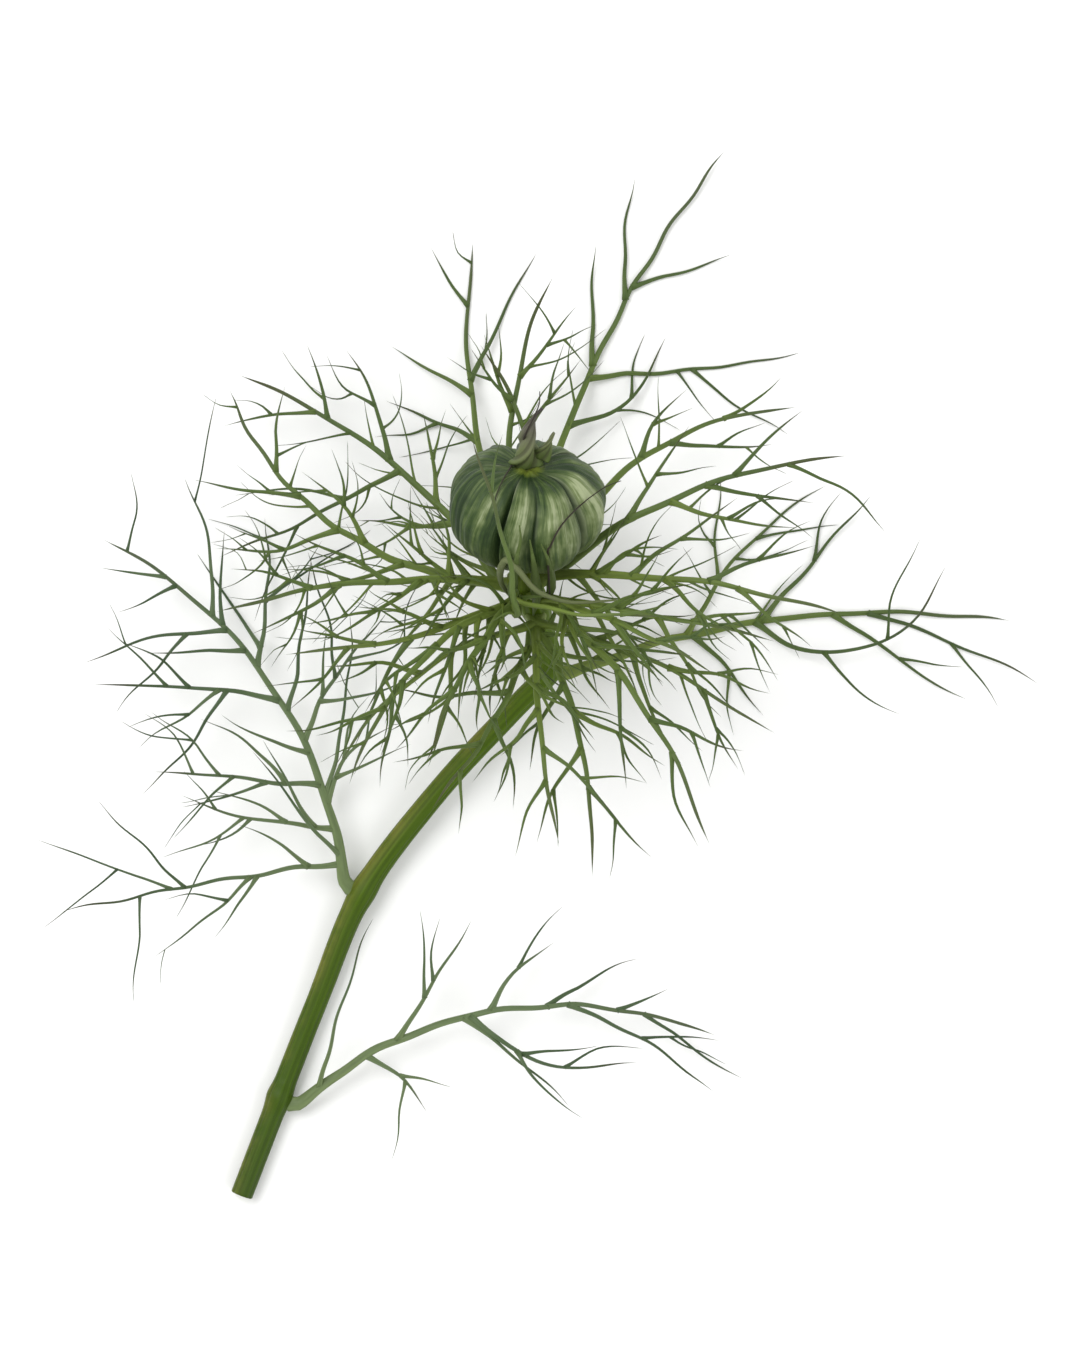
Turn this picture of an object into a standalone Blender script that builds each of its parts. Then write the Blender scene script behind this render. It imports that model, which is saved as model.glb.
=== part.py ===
"""A nigella seed pod as picked: a ribbed green globe in a ruff of forked, thread-like bracts,
on a cut stalk with two divided leaves. It lies on a surface at Z = 0, with the head tilted up.

Lengths in this file are in millimetres until an object is made. Headings are compass angles in
the plane of the surface, in degrees from +X towards +Y, and rises are degrees above it.
"""

import math
import random
from typing import NamedTuple

import bmesh
import bpy
import numpy as np
from mathutils import Matrix, Vector

MM = 0.001

# The point of the plant that the file's origin stands under, so that the origin is the
# middle of the plant's outline, on the surface.
ORIGIN = np.array([1.02, -13.25, 0.0])

# The pod
POD_CENTRE = np.array([0.0, -0.3, 14.0])
POD_RADIUS = 6.0
POD_HALF_HEIGHT = 4.4
POD_HEADING = 88.0
POD_RISE = 36.0
POD_COLUMNS = 50
POD_ROWS = 16
# How far out its sides and its ends are filled, from 1 for a plain sphere to 0 for a box
SIDE_FULLNESS = 0.86
END_FULLNESS = 0.9
# The furrows between its lobes and a shallower groove down each lobe, nearer to its left edge.
# Depths are shares of the radius, widths are shares of half a lobe, and places are shares of
# a lobe. The middle of one lobe faces front, and is a little wider than the one behind.
LOBES = 5
FRONT = -70.0
FRONT_WIDENING = 0.05
FURROW = {"depth": 0.19, "width": 0.22}
GROOVE = {"place": 0.38, "depth": 0.08, "width": 0.2}
# The dimple at its tip, and its half width as an angle at the pod's centre, in radians
DIMPLE = {"depth": 0.9, "width": 0.42}
# Two folded tips behind the pod's apex: places on their middle lines, and radii there
POD_TIPS = (
    (((0.0, 3.1, 15.8), (0.0, 4.7, 17.9), (0.5, 6.2, 19.1), (1.2, 7.0, 19.4)), (1.3, 0.9, 0.45, 0.12)),
    (((1.1, 3.5, 16.2), (1.7, 4.5, 17.6), (2.1, 5.2, 18.2)), (0.8, 0.5, 0.12)),
)
TIP_RESOLUTION = 1

# The gap between neighbouring pieces
GAP = 0.3
# The neck under the pod: drop below the pod's base, and radius there
NECK = ((0.0, 1.5), (0.6, 1.1), (1.2, 0.9))
# The stalk, from the ruff to its cut end: place, and radius there
STALK = (
    ((-0.15, -5.8, 9.7), 0.95),
    ((1.4, -10.2, 5.6), 0.88),
    ((1.7, -12.9, 4.1), 0.92),
    ((-1.1, -16.0, 3.1), 0.86),
    ((-7.0, -22.4, 2.1), 0.85),
    ((-13.0, -30.4, 1.5), 0.92),
    ((-16.6, -39.0, 1.1), 0.84),
    ((-19.6, -46.6, 0.88), 0.87),
    ((-22.6, -54.4, 0.86), 0.86),
)
STEPS_BETWEEN = 4
STALK_RESOLUTION = 3

# Threads: radii at root and tip, and the length of a straight step
ROOT_TIP = {"lobe": (0.50, 0.24), "fork": (0.36, 0.20), "twig": (0.30, 0.18)}
STEP = {"lobe": 4.0, "fork": 3.8, "twig": 3.6}
# A thread's middle above the surface that it lies on, in its own radii
LYING_HEIGHT = 0.65
# The frond that rests flat on the surface is sunk deeper into it, and cut off level with it
FLAT_FROND = "bract_far"
FLAT_HEIGHT = 0.20
# Room kept round a thread, the spacing of the places where it is tested, and the shortest
# thread that is kept where another is in the way
CLEAR_GAP = 0.42
SAMPLE = 0.5
LEAST_LENGTH = 2.5
# How much steeper or flatter a fork may start than its lobe
FORK_LIFT = (-16, 14)
# Twigs: their shares of the way along a short and a long fork, near the frond's root and far
# from it; the spread of their turns, lifts and lengths as shares of the fork's; and the length
# that each has besides
LONG_FORK = 11.5
FAR = 16.0
NEAR_TWIGS = ((0.52,), (0.34, 0.62))
FAR_TWIGS = ((), (0.5,))
TWIG_TURN = (34, 54)
TWIG_LIFT = (-22, 22)
TWIG_LENGTH = (0.30, 0.44)
TWIG_BASE = 1.4
SHARP_ANGLE = math.radians(50)


def direction(heading, rise):
    """Unit vectors for headings and rises in degrees."""
    h, r = np.radians(heading), np.radians(rise)
    return np.stack([np.cos(r) * np.cos(h), np.cos(r) * np.sin(h), np.sin(r)], axis=-1)


POD_AXIS = direction(POD_HEADING, POD_RISE)


def along(station):
    """Place and radius on the stalk at a station counted in STALK's rows, on a smooth curve."""
    places = np.array([place for place, _ in STALK])
    radii = np.array([radius for _, radius in STALK])
    first = int(min(max(math.floor(station), 0), len(STALK) - 2))
    t = station - first
    rows = np.clip([first - 1, first, first + 1, first + 2], 0, len(STALK) - 1)
    a, b, c, d = places[rows]
    place = 0.5 * (
        2 * b + (c - a) * t + (2 * a - 5 * b + 4 * c - d) * t**2 + (3 * b - a - 3 * c + d) * t**3
    )
    return place, radii[first] + (radii[first + 1] - radii[first]) * t


class Fork(NamedTuple):
    """A side branch: its share of the way along the lobe, its turn to the left from the lobe's
    heading at its own root and tip, and its length."""

    share: float
    turn: tuple
    length: float


class Lobe(NamedTuple):
    """A main branch of a frond: headings and rises at its root and tip, length and forks."""

    heading: tuple
    rise: tuple
    length: float
    forks: tuple


BRACT_FAR = (
    Lobe((78, 54), (-31, -3), 38.5, (
        Fork(0.34, (-62, 4), 11), Fork(0.46, (-66, -60), 17), Fork(0.48, (30, 0), 10),
        Fork(0.65, (32, 24), 9), Fork(0.67, (-46, -42), 8),
    )),
    Lobe((117, 84), (-31, -8), 28, (
        Fork(0.42, (44, 56), 9), Fork(0.58, (54, 50), 7), Fork(0.62, (-30, -34), 11),
        Fork(0.84, (40, 34), 5),
    )),
    Lobe((106, 68), (-19, 12), 23, (Fork(0.55, (40, 10), 6), Fork(0.66, (-44, -20), 7))),
    Lobe((76, 122), (-17, 16), 18, (Fork(0.58, (-40, -60), 7), Fork(0.74, (44, 20), 5))),
)
BRACT_LEFT = (
    Lobe((124, 160), (-14, -16), 28, (
        Fork(0.22, (52, 40), 8), Fork(0.30, (-46, -20), 8), Fork(0.44, (66, 62), 16),
        Fork(0.50, (-50, -16), 10), Fork(0.72, (-58, -50), 6), Fork(0.76, (36, 20), 7),
    )),
    Lobe((178, 110), (6, -20), 28, (
        Fork(0.14, (56, 60), 8), Fork(0.28, (38, 20), 9), Fork(0.40, (-44, -20), 7),
        Fork(0.50, (66, 40), 9), Fork(0.64, (46, 20), 8), Fork(0.74, (-40, -26), 6),
    )),
    Lobe((174, 196), (30, 4), 23, (
        Fork(0.14, (52, 60), 9), Fork(0.20, (-46, -20), 7), Fork(0.30, (40, 30), 10),
        Fork(0.42, (-38, -20), 8), Fork(0.60, (36, 20), 7), Fork(0.68, (-36, -20), 6),
    )),
)
BRACT_RIGHT = (
    Lobe((40, 6), (10, 2), 25, (
        Fork(0.18, (-50, -40), 8), Fork(0.32, (38, 10), 8), Fork(0.44, (-48, -24), 10),
        Fork(0.58, (-40, -10), 8), Fork(0.66, (32, 10), 7), Fork(0.84, (-24, -62), 9),
    )),
    Lobe((2, -12), (34, 4), 24, (
        Fork(0.13, (-50, -60), 9), Fork(0.19, (46, 20), 7), Fork(0.30, (44, 20), 10),
        Fork(0.42, (-44, -24), 9), Fork(0.58, (36, 14), 8), Fork(0.68, (-38, -20), 7),
    )),
    Lobe((68, -4), (-18, -12), 26, (
        Fork(0.48, (46, 10), 6), Fork(0.58, (-34, -20), 8), Fork(0.76, (24, 12), 6),
    )),
)
BRACT_NEAR_LEFT = (
    Lobe((198, 250), (50, 12), 22, (
        Fork(0.15, (-52, -20), 7), Fork(0.22, (54, 40), 8), Fork(0.32, (48, 24), 9),
        Fork(0.44, (-44, -10), 8), Fork(0.62, (40, 20), 7), Fork(0.74, (-40, -10), 6),
    )),
    Lobe((226, 258), (60, 26), 20, (
        Fork(0.18, (54, 50), 8), Fork(0.34, (-46, -20), 9), Fork(0.48, (44, 20), 9),
        Fork(0.66, (-38, -10), 7),
    )),
    Lobe((206, 184), (36, 2), 19, (
        Fork(0.15, (58, 70), 8), Fork(0.26, (56, 60), 9), Fork(0.38, (-50, -10), 7),
        Fork(0.52, (48, 70), 9), Fork(0.66, (-44, -30), 6), Fork(0.78, (40, 30), 6),
    )),
    Lobe((86, 112), (118, -6), 25, (Fork(0.86, (-34, -20), 4),)),
    Lobe((-28, 6), (98, -22), 17, (Fork(0.82, (-30, -20), 4),)),
)
BRACT_NEAR_RIGHT = (
    Lobe((322, 294), (46, 8), 26, (
        Fork(0.14, (-54, -40), 8), Fork(0.21, (50, 20), 7), Fork(0.30, (46, 20), 10),
        Fork(0.42, (-44, -20), 9), Fork(0.60, (40, 10), 8), Fork(0.72, (-40, -10), 7),
    )),
    Lobe((344, 330), (58, 22), 20, (
        Fork(0.18, (-52, -40), 8), Fork(0.36, (40, 14), 9), Fork(0.50, (-42, -16), 8),
        Fork(0.70, (36, 10), 6),
    )),
    Lobe((350, 356), (34, 2), 19, (
        Fork(0.15, (-56, -60), 8), Fork(0.26, (-54, -60), 9), Fork(0.38, (46, 20), 7),
        Fork(0.54, (-50, -70), 9), Fork(0.68, (44, 10), 6), Fork(0.80, (-40, -30), 6),
    )),
)
BRACT_FRONT = (
    Lobe((190, 236), (40, 6), 21, (
        Fork(0.14, (60, 60), 8), Fork(0.26, (-52, -30), 8), Fork(0.40, (56, 50), 9),
        Fork(0.54, (-48, -30), 8), Fork(0.68, (46, 30), 7), Fork(0.80, (-40, -30), 6),
    )),
    Lobe((256, 228), (56, 14), 20, (
        Fork(0.16, (-60, -50), 8), Fork(0.28, (56, 50), 9), Fork(0.42, (-54, -60), 9),
        Fork(0.56, (50, 40), 8), Fork(0.70, (-46, -50), 7), Fork(0.82, (40, 30), 5),
    )),
    Lobe((268, 282), (60, 10), 21, (
        Fork(0.14, (58, 40), 7), Fork(0.24, (-58, -60), 8), Fork(0.36, (54, 50), 9),
        Fork(0.50, (-50, -50), 9), Fork(0.64, (46, 40), 8), Fork(0.78, (-44, -30), 6),
    )),
    Lobe((300, 264), (44, 12), 22, (
        Fork(0.16, (56, 50), 8), Fork(0.30, (-56, -40), 9), Fork(0.44, (52, 40), 9),
        Fork(0.58, (-46, -30), 8), Fork(0.72, (44, 30), 7),
    )),
    Lobe((348, 318), (36, 6), 21, (
        Fork(0.15, (-58, -50), 8), Fork(0.27, (50, 20), 8), Fork(0.42, (-52, -40), 9),
        Fork(0.58, (46, 20), 8), Fork(0.74, (-42, -30), 6),
    )),
)
BRACT_LOW_RIGHT = (
    Lobe((22, -8), (-22, 0), 36, (
        Fork(0.28, (50, 26), 16), Fork(0.30, (-56, -70), 8), Fork(0.44, (-52, 56), 18),
        Fork(0.46, (44, 38), 13), Fork(0.62, (-38, -44), 12), Fork(0.70, (-18, -24), 14),
    )),
)
LEAF_LEFT = (
    Lobe((97, 151), (10, -9), 34, (
        Fork(0.04, (84, 100), 22), Fork(0.12, (76, 66), 12), Fork(0.18, (-22, -76), 8),
        Fork(0.24, (70, 56), 13), Fork(0.34, (-46, -68), 12), Fork(0.46, (50, 64), 14),
        Fork(0.54, (-46, -36), 12), Fork(0.66, (50, 60), 11), Fork(0.70, (-46, -26), 11),
        Fork(0.84, (34, 30), 5),
    )),
)
LEAF_RIGHT = (
    Lobe((42, -24), (10, -8), 35, (
        Fork(0.20, (-60, -90), 6), Fork(0.27, (34, 40), 11), Fork(0.44, (-62, 0), 14),
        Fork(0.50, (72, 10), 7), Fork(0.66, (-20, -34), 13), Fork(0.78, (34, 40), 4),
        Fork(0.84, (-20, -28), 9),
    )),
)

# Where each frond leaves the stalk: its station, the side it leaves from, and its lobes
FRONDS = {
    "bract_far": (0.10, (92, -46), BRACT_FAR),
    "bract_left": (0.04, (176, 6), BRACT_LEFT),
    "bract_right": (0.04, (6, 6), BRACT_RIGHT),
    "bract_near_left": (0.14, (226, 44), BRACT_NEAR_LEFT),
    "bract_near_right": (0.14, (312, 44), BRACT_NEAR_RIGHT),
    "bract_front": (0.52, (268, 60), BRACT_FRONT),
    "bract_low_right": (1.95, (20, 0), BRACT_LOW_RIGHT),
    "leaf_left": (5.0, (100, 10), LEAF_LEFT),
    "leaf_right": (7.0, (20, 10), LEAF_RIGHT),
}


def thread_path(start, heading, rise, length, step):
    """Points of a thread whose heading and rise turn evenly from root to tip. Where it would
    dip under the surface it lies along it."""
    count = max(2, round(length / step))
    share = (np.arange(count) + 0.5) / count
    steps = direction(
        heading[0] + (heading[1] - heading[0]) * share, rise[0] + (rise[1] - rise[0]) * share
    )
    return np.vstack([start, start + np.cumsum(steps * length / count, axis=0)])


def laid(points, radii, frond):
    """The points lifted to where the thread lies on the surface."""
    height = FLAT_HEIGHT if frond == FLAT_FROND else LYING_HEIGHT
    lifted = points.copy()
    lifted[:, 2] = np.maximum(points[:, 2], np.linspace(*radii, len(points)) * height)
    return lifted


def sampled(points, radii):
    """Spheres along a thread, as rows of x, y, z and radius."""
    lengths = np.linalg.norm(np.diff(points, axis=0), axis=1)
    reach = np.concatenate([[0.0], np.cumsum(lengths)])
    places = np.linspace(0.0, reach[-1], max(2, int(reach[-1] / SAMPLE) + 1))
    rows = [np.interp(places, reach, points[:, axis]) for axis in range(3)]
    rows.append(np.linspace(radii[0], radii[1], len(places)))
    return np.stack(rows, axis=1)


def clearance(spheres, others):
    """The gap between each sphere and the nearest of the others."""
    if not len(others):
        return np.full(len(spheres), np.inf)
    gaps = np.linalg.norm(spheres[:, None, :3] - others[None, :, :3], axis=2)
    return (gaps - spheres[:, None, 3] - others[None, :, 3]).min(axis=1)


def pod_spheres():
    """The pod and its short neck, as spheres that a thread keeps clear of."""
    return np.array([[*POD_CENTRE, POD_RADIUS + 0.3]])


def stalk_spheres(without):
    """The stalk as spheres, left out near the station where a frond has its root."""
    stations = np.arange(0.0, len(STALK) - 1.0, 0.06)
    rows = [(*along(s)[0], along(s)[1]) for s in stations if abs(s - without) > 0.16]
    return np.array(rows)


class Thread(NamedTuple):
    """One grown thread: the frond it belongs to, its points, its radii and its kind."""

    frond: str
    points: np.ndarray
    radii: tuple
    kind: str


class Plant:
    """Every thread grown so far, and the room that each frond and the rest take up."""

    def __init__(self):
        self.threads = []
        self.room = {name: np.empty((0, 4)) for name in FRONDS}
        self.solid = {
            name: np.vstack([pod_spheres(), stalk_spheres(station)])
            for name, (station, _, _) in FRONDS.items()
        }

    def add(self, thread):
        self.threads.append(thread)
        room = sampled(thread.points, thread.radii)
        self.room[thread.frond] = np.vstack([self.room[thread.frond], room])

    def grow(self, frond, kind, start, heading, rise, length):
        """Adds a thread, bent a little or shortened where it would meet another frond. Gives its
        points, or None where it has no room."""
        others = np.vstack([*(r for name, r in self.room.items() if name != frond), self.solid[frond]])
        radii = ROOT_TIP[kind]
        longest, reach = None, 0
        for lift, turn in BENDS:
            bent = (heading[0] + turn, heading[1] + turn), (rise[0] + lift, rise[1] + lift / 2)
            points = laid(thread_path(start, *bent, length, STEP[kind]), radii, frond)
            spheres = sampled(points, radii)
            blocked = np.flatnonzero(clearance(spheres, others) < CLEAR_GAP)
            if not len(blocked):
                self.add(Thread(frond, points, radii, kind))
                return points
            if blocked[0] > reach:
                longest, reach = spheres[: blocked[0], :3], blocked[0]
        if (reach - 1) * SAMPLE < LEAST_LENGTH:
            return None
        steps = max(2, round(reach * SAMPLE / STEP[kind]))
        points = longest[np.linspace(0, reach - 1, steps + 1).round().astype(int)]
        self.add(Thread(frond, points, radii, kind))
        return points


# Lifts and turns that a thread is tried with, least first
BENDS = [(0, 0)] + [
    (size * lift, size * turn)
    for size in (10, 20, 30)
    for lift, turn in ((1, 0), (-1, 0), (0, 1), (0, -1), (1, 1), (-1, -1))
]


def at_share(points, share):
    """Place, heading and rise at a share of the way along a thread."""
    place = share * (len(points) - 1)
    first = min(int(place), len(points) - 2)
    step = points[first + 1] - points[first]
    rise = math.degrees(math.asin(step[2] / np.linalg.norm(step)))
    return points[first] + step * (place - first), math.degrees(math.atan2(step[1], step[0])), rise


def root_of(frond):
    """Where a frond starts, just clear of the stalk."""
    station, side, _ = FRONDS[frond]
    place, radius = along(station)
    ahead = along(station + 0.05)[0] - along(station - 0.05)[0]
    ahead /= np.linalg.norm(ahead)
    outward = direction(*side)
    outward -= ahead * outward.dot(ahead)
    outward /= np.linalg.norm(outward)
    return place + outward * (radius + GAP + ROOT_TIP["lobe"][0])


def grow_lobes(plant):
    """The lobes of every frond come first, since the forks give way to them."""
    lobes = []
    for frond, (_, _, rows) in FRONDS.items():
        root = root_of(frond)
        for lobe in rows:
            points = thread_path(root, lobe.heading, lobe.rise, lobe.length, STEP["lobe"])
            points = laid(points, ROOT_TIP["lobe"], frond)
            plant.add(Thread(frond, points, ROOT_TIP["lobe"], "lobe"))
            lobes.append((frond, lobe, points))
    return lobes


def grow_forks(plant, lobes):
    """The forks of every lobe."""
    grown = []
    for number, (frond, lobe, points) in enumerate(lobes):
        draw = random.Random(number)
        for fork in lobe.forks:
            start, heading, rise = at_share(points, fork.share)
            lift = draw.uniform(*FORK_LIFT)
            headings = heading + fork.turn[0], heading + fork.turn[1]
            rises = rise + lift, rise + 0.3 * lift
            made = plant.grow(frond, "fork", start, headings, rises, fork.length)
            if made is not None:
                grown.append((frond, made, fork.length))
    return grown


def grow_twigs(plant, forks):
    """Side twigs, left and right by turns, on every fork."""
    for number, (frond, points, length) in enumerate(forks):
        draw = random.Random(1000 + number)
        side = draw.choice((-1, 1))
        far = np.linalg.norm(points[0] - root_of(frond)) > FAR
        for share in (FAR_TWIGS if far else NEAR_TWIGS)[length > LONG_FORK]:
            start, heading, rise = at_share(points, share)
            turn = side * draw.uniform(*TWIG_TURN)
            lift = draw.uniform(*TWIG_LIFT)
            reach = draw.uniform(*TWIG_LENGTH) * length + TWIG_BASE
            headings = heading + turn, heading + 0.5 * turn
            plant.grow(frond, "twig", start, headings, (rise + lift, rise), reach)
            side = -side


def grow_plant():
    plant = Plant()
    grow_twigs(plant, grow_forks(plant, grow_lobes(plant)))
    return plant


def material(name, colour, roughness):
    made = bpy.data.materials.new(name)
    made.use_nodes = True
    shader = made.node_tree.nodes["Principled BSDF"]
    shader.inputs["Base Color"].default_value = (*colour, 1.0)
    shader.inputs["Roughness"].default_value = roughness
    shader.inputs["Metallic"].default_value = 0.0
    return made


def row_frame(points):
    """Plant millimetres to metres about the origin."""
    return (np.asarray(points) - ORIGIN) * MM


def linked(name, data, collection):
    made = bpy.data.objects.new(name, data)
    collection.objects.link(made)
    return made


def tube_mesh(name, points, radii, section, collection):
    """A closed tapered tube along the points, as a mesh object. section is a bevel curve, or a
    bevel resolution."""
    curve = bpy.data.curves.new(name, "CURVE")
    curve.dimensions = "3D"
    curve.use_fill_caps = True
    if isinstance(section, int):
        curve.bevel_depth = MM
        curve.bevel_resolution = section
    else:
        curve.bevel_mode = "OBJECT"
        curve.bevel_object = section
    spline = curve.splines.new("POLY")
    spline.points.add(len(points) - 1)
    for point, place, radius in zip(spline.points, row_frame(points), radii, strict=True):
        point.co = (*place, 1.0)
        point.radius = radius
    rough = linked(name + "_curve", curve, collection)
    bpy.context.view_layer.update()
    evaluated = rough.evaluated_get(bpy.context.evaluated_depsgraph_get())
    mesh = bpy.data.meshes.new_from_object(evaluated)
    bpy.data.objects.remove(rough)
    shape = bmesh.new()
    shape.from_mesh(mesh)
    bmesh.ops.remove_doubles(shape, verts=shape.verts, dist=0.00002)
    bmesh.ops.recalc_face_normals(shape, faces=shape.faces)
    shape.to_mesh(mesh)
    shape.free()
    return linked(name, mesh, collection)


def thread_section(collection):
    """The three-sided outline that a thread is swept from, one millimetre in radius."""
    curve = bpy.data.curves.new("thread_section", "CURVE")
    spline = curve.splines.new("POLY")
    spline.points.add(2)
    for corner, point in enumerate(spline.points):
        angle = math.radians(90 + 120 * corner)
        point.co = (MM * math.cos(angle), MM * math.sin(angle), 0.0, 1.0)
    spline.use_cyclic_u = True
    made = linked("thread_section", curve, collection)
    made.hide_render = True
    made.display_type = "WIRE"
    return made


def joined(node, pieces, solver):
    """Joins the pieces' collection to the node with one applied union, and removes it."""
    union = node.modifiers.new("union", "BOOLEAN")
    union.operation = "UNION"
    union.operand_type = "COLLECTION"
    union.collection = pieces
    union.solver = solver
    bpy.context.view_layer.update()
    evaluated = node.evaluated_get(bpy.context.evaluated_depsgraph_get())
    mesh = bpy.data.meshes.new_from_object(evaluated)
    node.modifiers.clear()
    node.data = mesh
    for piece in list(pieces.objects):
        bpy.data.objects.remove(piece)
    bpy.data.collections.remove(pieces)


def finish(node, paint):
    """Gives a node its material and smooth shading with sharp edges."""
    node.data.materials.clear()
    node.data.materials.append(paint)
    node.data.shade_smooth()
    node.data.set_sharp_from_angle(angle=SHARP_ANGLE)


def make_frond(name, threads, section, parts, leaf_green):
    """One frond: its threads swept, and fused to its first lobe."""
    pieces = bpy.data.collections.new(name + "_threads")
    bpy.context.scene.collection.children.link(pieces)
    node = None
    for number, thread in enumerate(threads):
        taper = np.linspace(*thread.radii, len(thread.points))
        home = parts if node is None else pieces
        tube = tube_mesh(f"{name}_{number}", thread.points, taper, section, home)
        node = node or tube
    node.name = name
    joined(node, pieces, "MANIFOLD")
    finish(node, leaf_green)
    return node


def surface_cutter(helpers):
    """A block whose top is the surface that the plant lies on."""
    bpy.ops.mesh.primitive_cube_add(size=0.2, location=(0, 0, -0.1))
    block = bpy.context.object
    block.name = "surface_cutter"
    for collection in block.users_collection:
        collection.objects.unlink(block)
    helpers.objects.link(block)
    block.hide_render = True
    block.display_type = "WIRE"
    return block


def pod_point(azimuth, polar):
    """A point of the pod's skin about its own axis, for an azimuth and an angle from its tip."""
    upright = math.cos(polar)
    dimple = DIMPLE["depth"] * math.exp(-((polar / DIMPLE["width"]) ** 2))
    height = POD_HALF_HEIGHT * math.copysign(abs(upright) ** END_FULLNESS, upright) - dimple
    turned = azimuth - math.radians(FRONT)
    lobe = (turned - FRONT_WIDENING * math.sin(turned)) / (2 * math.pi) * LOBES + 0.5
    off_furrow = abs(lobe - round(lobe)) * 2
    off_groove = (lobe - math.floor(lobe) - GROOVE["place"]) * 2
    carved = FURROW["depth"] * math.exp(-((off_furrow / FURROW["width"]) ** 2))
    carved += GROOVE["depth"] * math.exp(-((off_groove / GROOVE["width"]) ** 2))
    carved *= math.sqrt(abs(math.cos(polar / 2)))
    radius = POD_RADIUS * abs(math.sin(polar)) ** SIDE_FULLNESS * (1 - carved)
    return radius * math.cos(azimuth), radius * math.sin(azimuth), height


def pod_matrix():
    """Puts the pod's own axis, up from its base, along the head's direction."""
    up = Vector(POD_AXIS)
    side = Vector((math.sin(math.radians(POD_HEADING)), -math.cos(math.radians(POD_HEADING)), 0))
    back = up.cross(side)
    turn = Matrix((side, back, up)).transposed().to_4x4()
    return Matrix.Translation(Vector(row_frame(POD_CENTRE))) @ turn


def make_pod(parts, pod_green):
    """The globe: a sphere drawn out into ribbed lobes that meet in a dimple at its tip."""
    shape = bmesh.new()
    bmesh.ops.create_uvsphere(shape, u_segments=POD_COLUMNS, v_segments=POD_ROWS, radius=1.0)
    for vertex in shape.verts:
        azimuth = math.atan2(vertex.co.y, vertex.co.x)
        polar = vertex.co.angle(Vector((0, 0, 1)))
        vertex.co = Vector(pod_point(azimuth, polar)) * MM
    shape.transform(pod_matrix())
    mesh = bpy.data.meshes.new("pod")
    shape.to_mesh(mesh)
    shape.free()
    pod = linked("pod", mesh, parts)
    tips = bpy.data.collections.new("pod_tips")
    bpy.context.scene.collection.children.link(tips)
    for number, (points, radii) in enumerate(POD_TIPS):
        tube_mesh(f"pod_tip_{number}", points, radii, TIP_RESOLUTION, tips)
    joined(pod, tips, "EXACT")
    finish(pod, pod_green)


def make_stalk(parts, stalk_green):
    """The stalk: a neck under the pod, swollen joints where fronds leave, and a cut end."""
    base = POD_CENTRE - POD_AXIS * (POD_HALF_HEIGHT + GAP)
    stations = np.arange((len(STALK) - 1) * STEPS_BETWEEN + 1) / STEPS_BETWEEN
    points = [base - POD_AXIS * drop for drop, _ in NECK] + [along(s)[0] for s in stations]
    radii = [radius for _, radius in NECK] + [along(s)[1] for s in stations]
    finish(tube_mesh("stalk", points, radii, STALK_RESOLUTION, parts), stalk_green)


def main():
    for old in list(bpy.data.objects):
        bpy.data.objects.remove(old)
    parts = bpy.data.collections.new("nigella_seed_pod")
    helpers = bpy.data.collections.new("helpers")
    for collection in (parts, helpers):
        bpy.context.scene.collection.children.link(collection)
    plant = grow_plant()
    section = thread_section(helpers)
    make_pod(parts, material("pod_green", (0.22, 0.30, 0.13), 0.55))
    make_stalk(parts, material("stalk_green", (0.16, 0.25, 0.05), 0.5))
    leaf_green = material("thread_green", (0.10, 0.19, 0.05), 0.55)
    for name in FRONDS:
        threads = [thread for thread in plant.threads if thread.frond == name]
        make_frond(name, threads, section, parts, leaf_green)
    flat = bpy.data.objects[FLAT_FROND].modifiers.new("lie_flat", "BOOLEAN")
    flat.operation = "DIFFERENCE"
    flat.object = surface_cutter(helpers)


main()
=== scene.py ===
"""Looks of the picked nigella seed pod: its ribbed globe, its stalk, and the forked threads of
its bracts and leaves.

Lengths are in millimetres until a mesh is made. Headings are angles in the plane of the
surface, in degrees from +X towards +Y, and rises are degrees above it.
"""

import math
import random
from typing import NamedTuple

import bmesh
import bpy
import numpy as np
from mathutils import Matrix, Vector, noise


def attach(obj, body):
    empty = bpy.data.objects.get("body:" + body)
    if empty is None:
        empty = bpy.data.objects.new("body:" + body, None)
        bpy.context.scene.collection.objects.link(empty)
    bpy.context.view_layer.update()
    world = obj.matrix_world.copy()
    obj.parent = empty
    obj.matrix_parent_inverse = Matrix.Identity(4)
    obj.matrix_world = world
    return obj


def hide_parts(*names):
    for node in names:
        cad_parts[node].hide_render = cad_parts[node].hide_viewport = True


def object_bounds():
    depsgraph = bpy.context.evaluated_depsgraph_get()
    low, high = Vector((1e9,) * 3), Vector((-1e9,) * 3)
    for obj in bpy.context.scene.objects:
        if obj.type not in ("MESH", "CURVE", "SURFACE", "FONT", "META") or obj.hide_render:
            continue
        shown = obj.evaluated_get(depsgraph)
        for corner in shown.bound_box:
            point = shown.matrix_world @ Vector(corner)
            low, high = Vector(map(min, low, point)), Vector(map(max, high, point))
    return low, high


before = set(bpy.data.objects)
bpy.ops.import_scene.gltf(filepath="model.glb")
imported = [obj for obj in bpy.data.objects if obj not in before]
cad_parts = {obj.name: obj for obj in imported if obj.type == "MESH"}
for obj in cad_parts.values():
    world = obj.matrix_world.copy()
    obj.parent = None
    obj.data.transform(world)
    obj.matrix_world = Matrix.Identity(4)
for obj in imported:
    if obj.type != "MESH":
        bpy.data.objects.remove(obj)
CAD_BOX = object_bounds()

MM = 0.001

# The point of the plant that the file's origin stands under, so that the origin is the
# middle of the plant's outline, on the surface.
ORIGIN = np.array([1.02, -13.25, 0.0])

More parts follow.
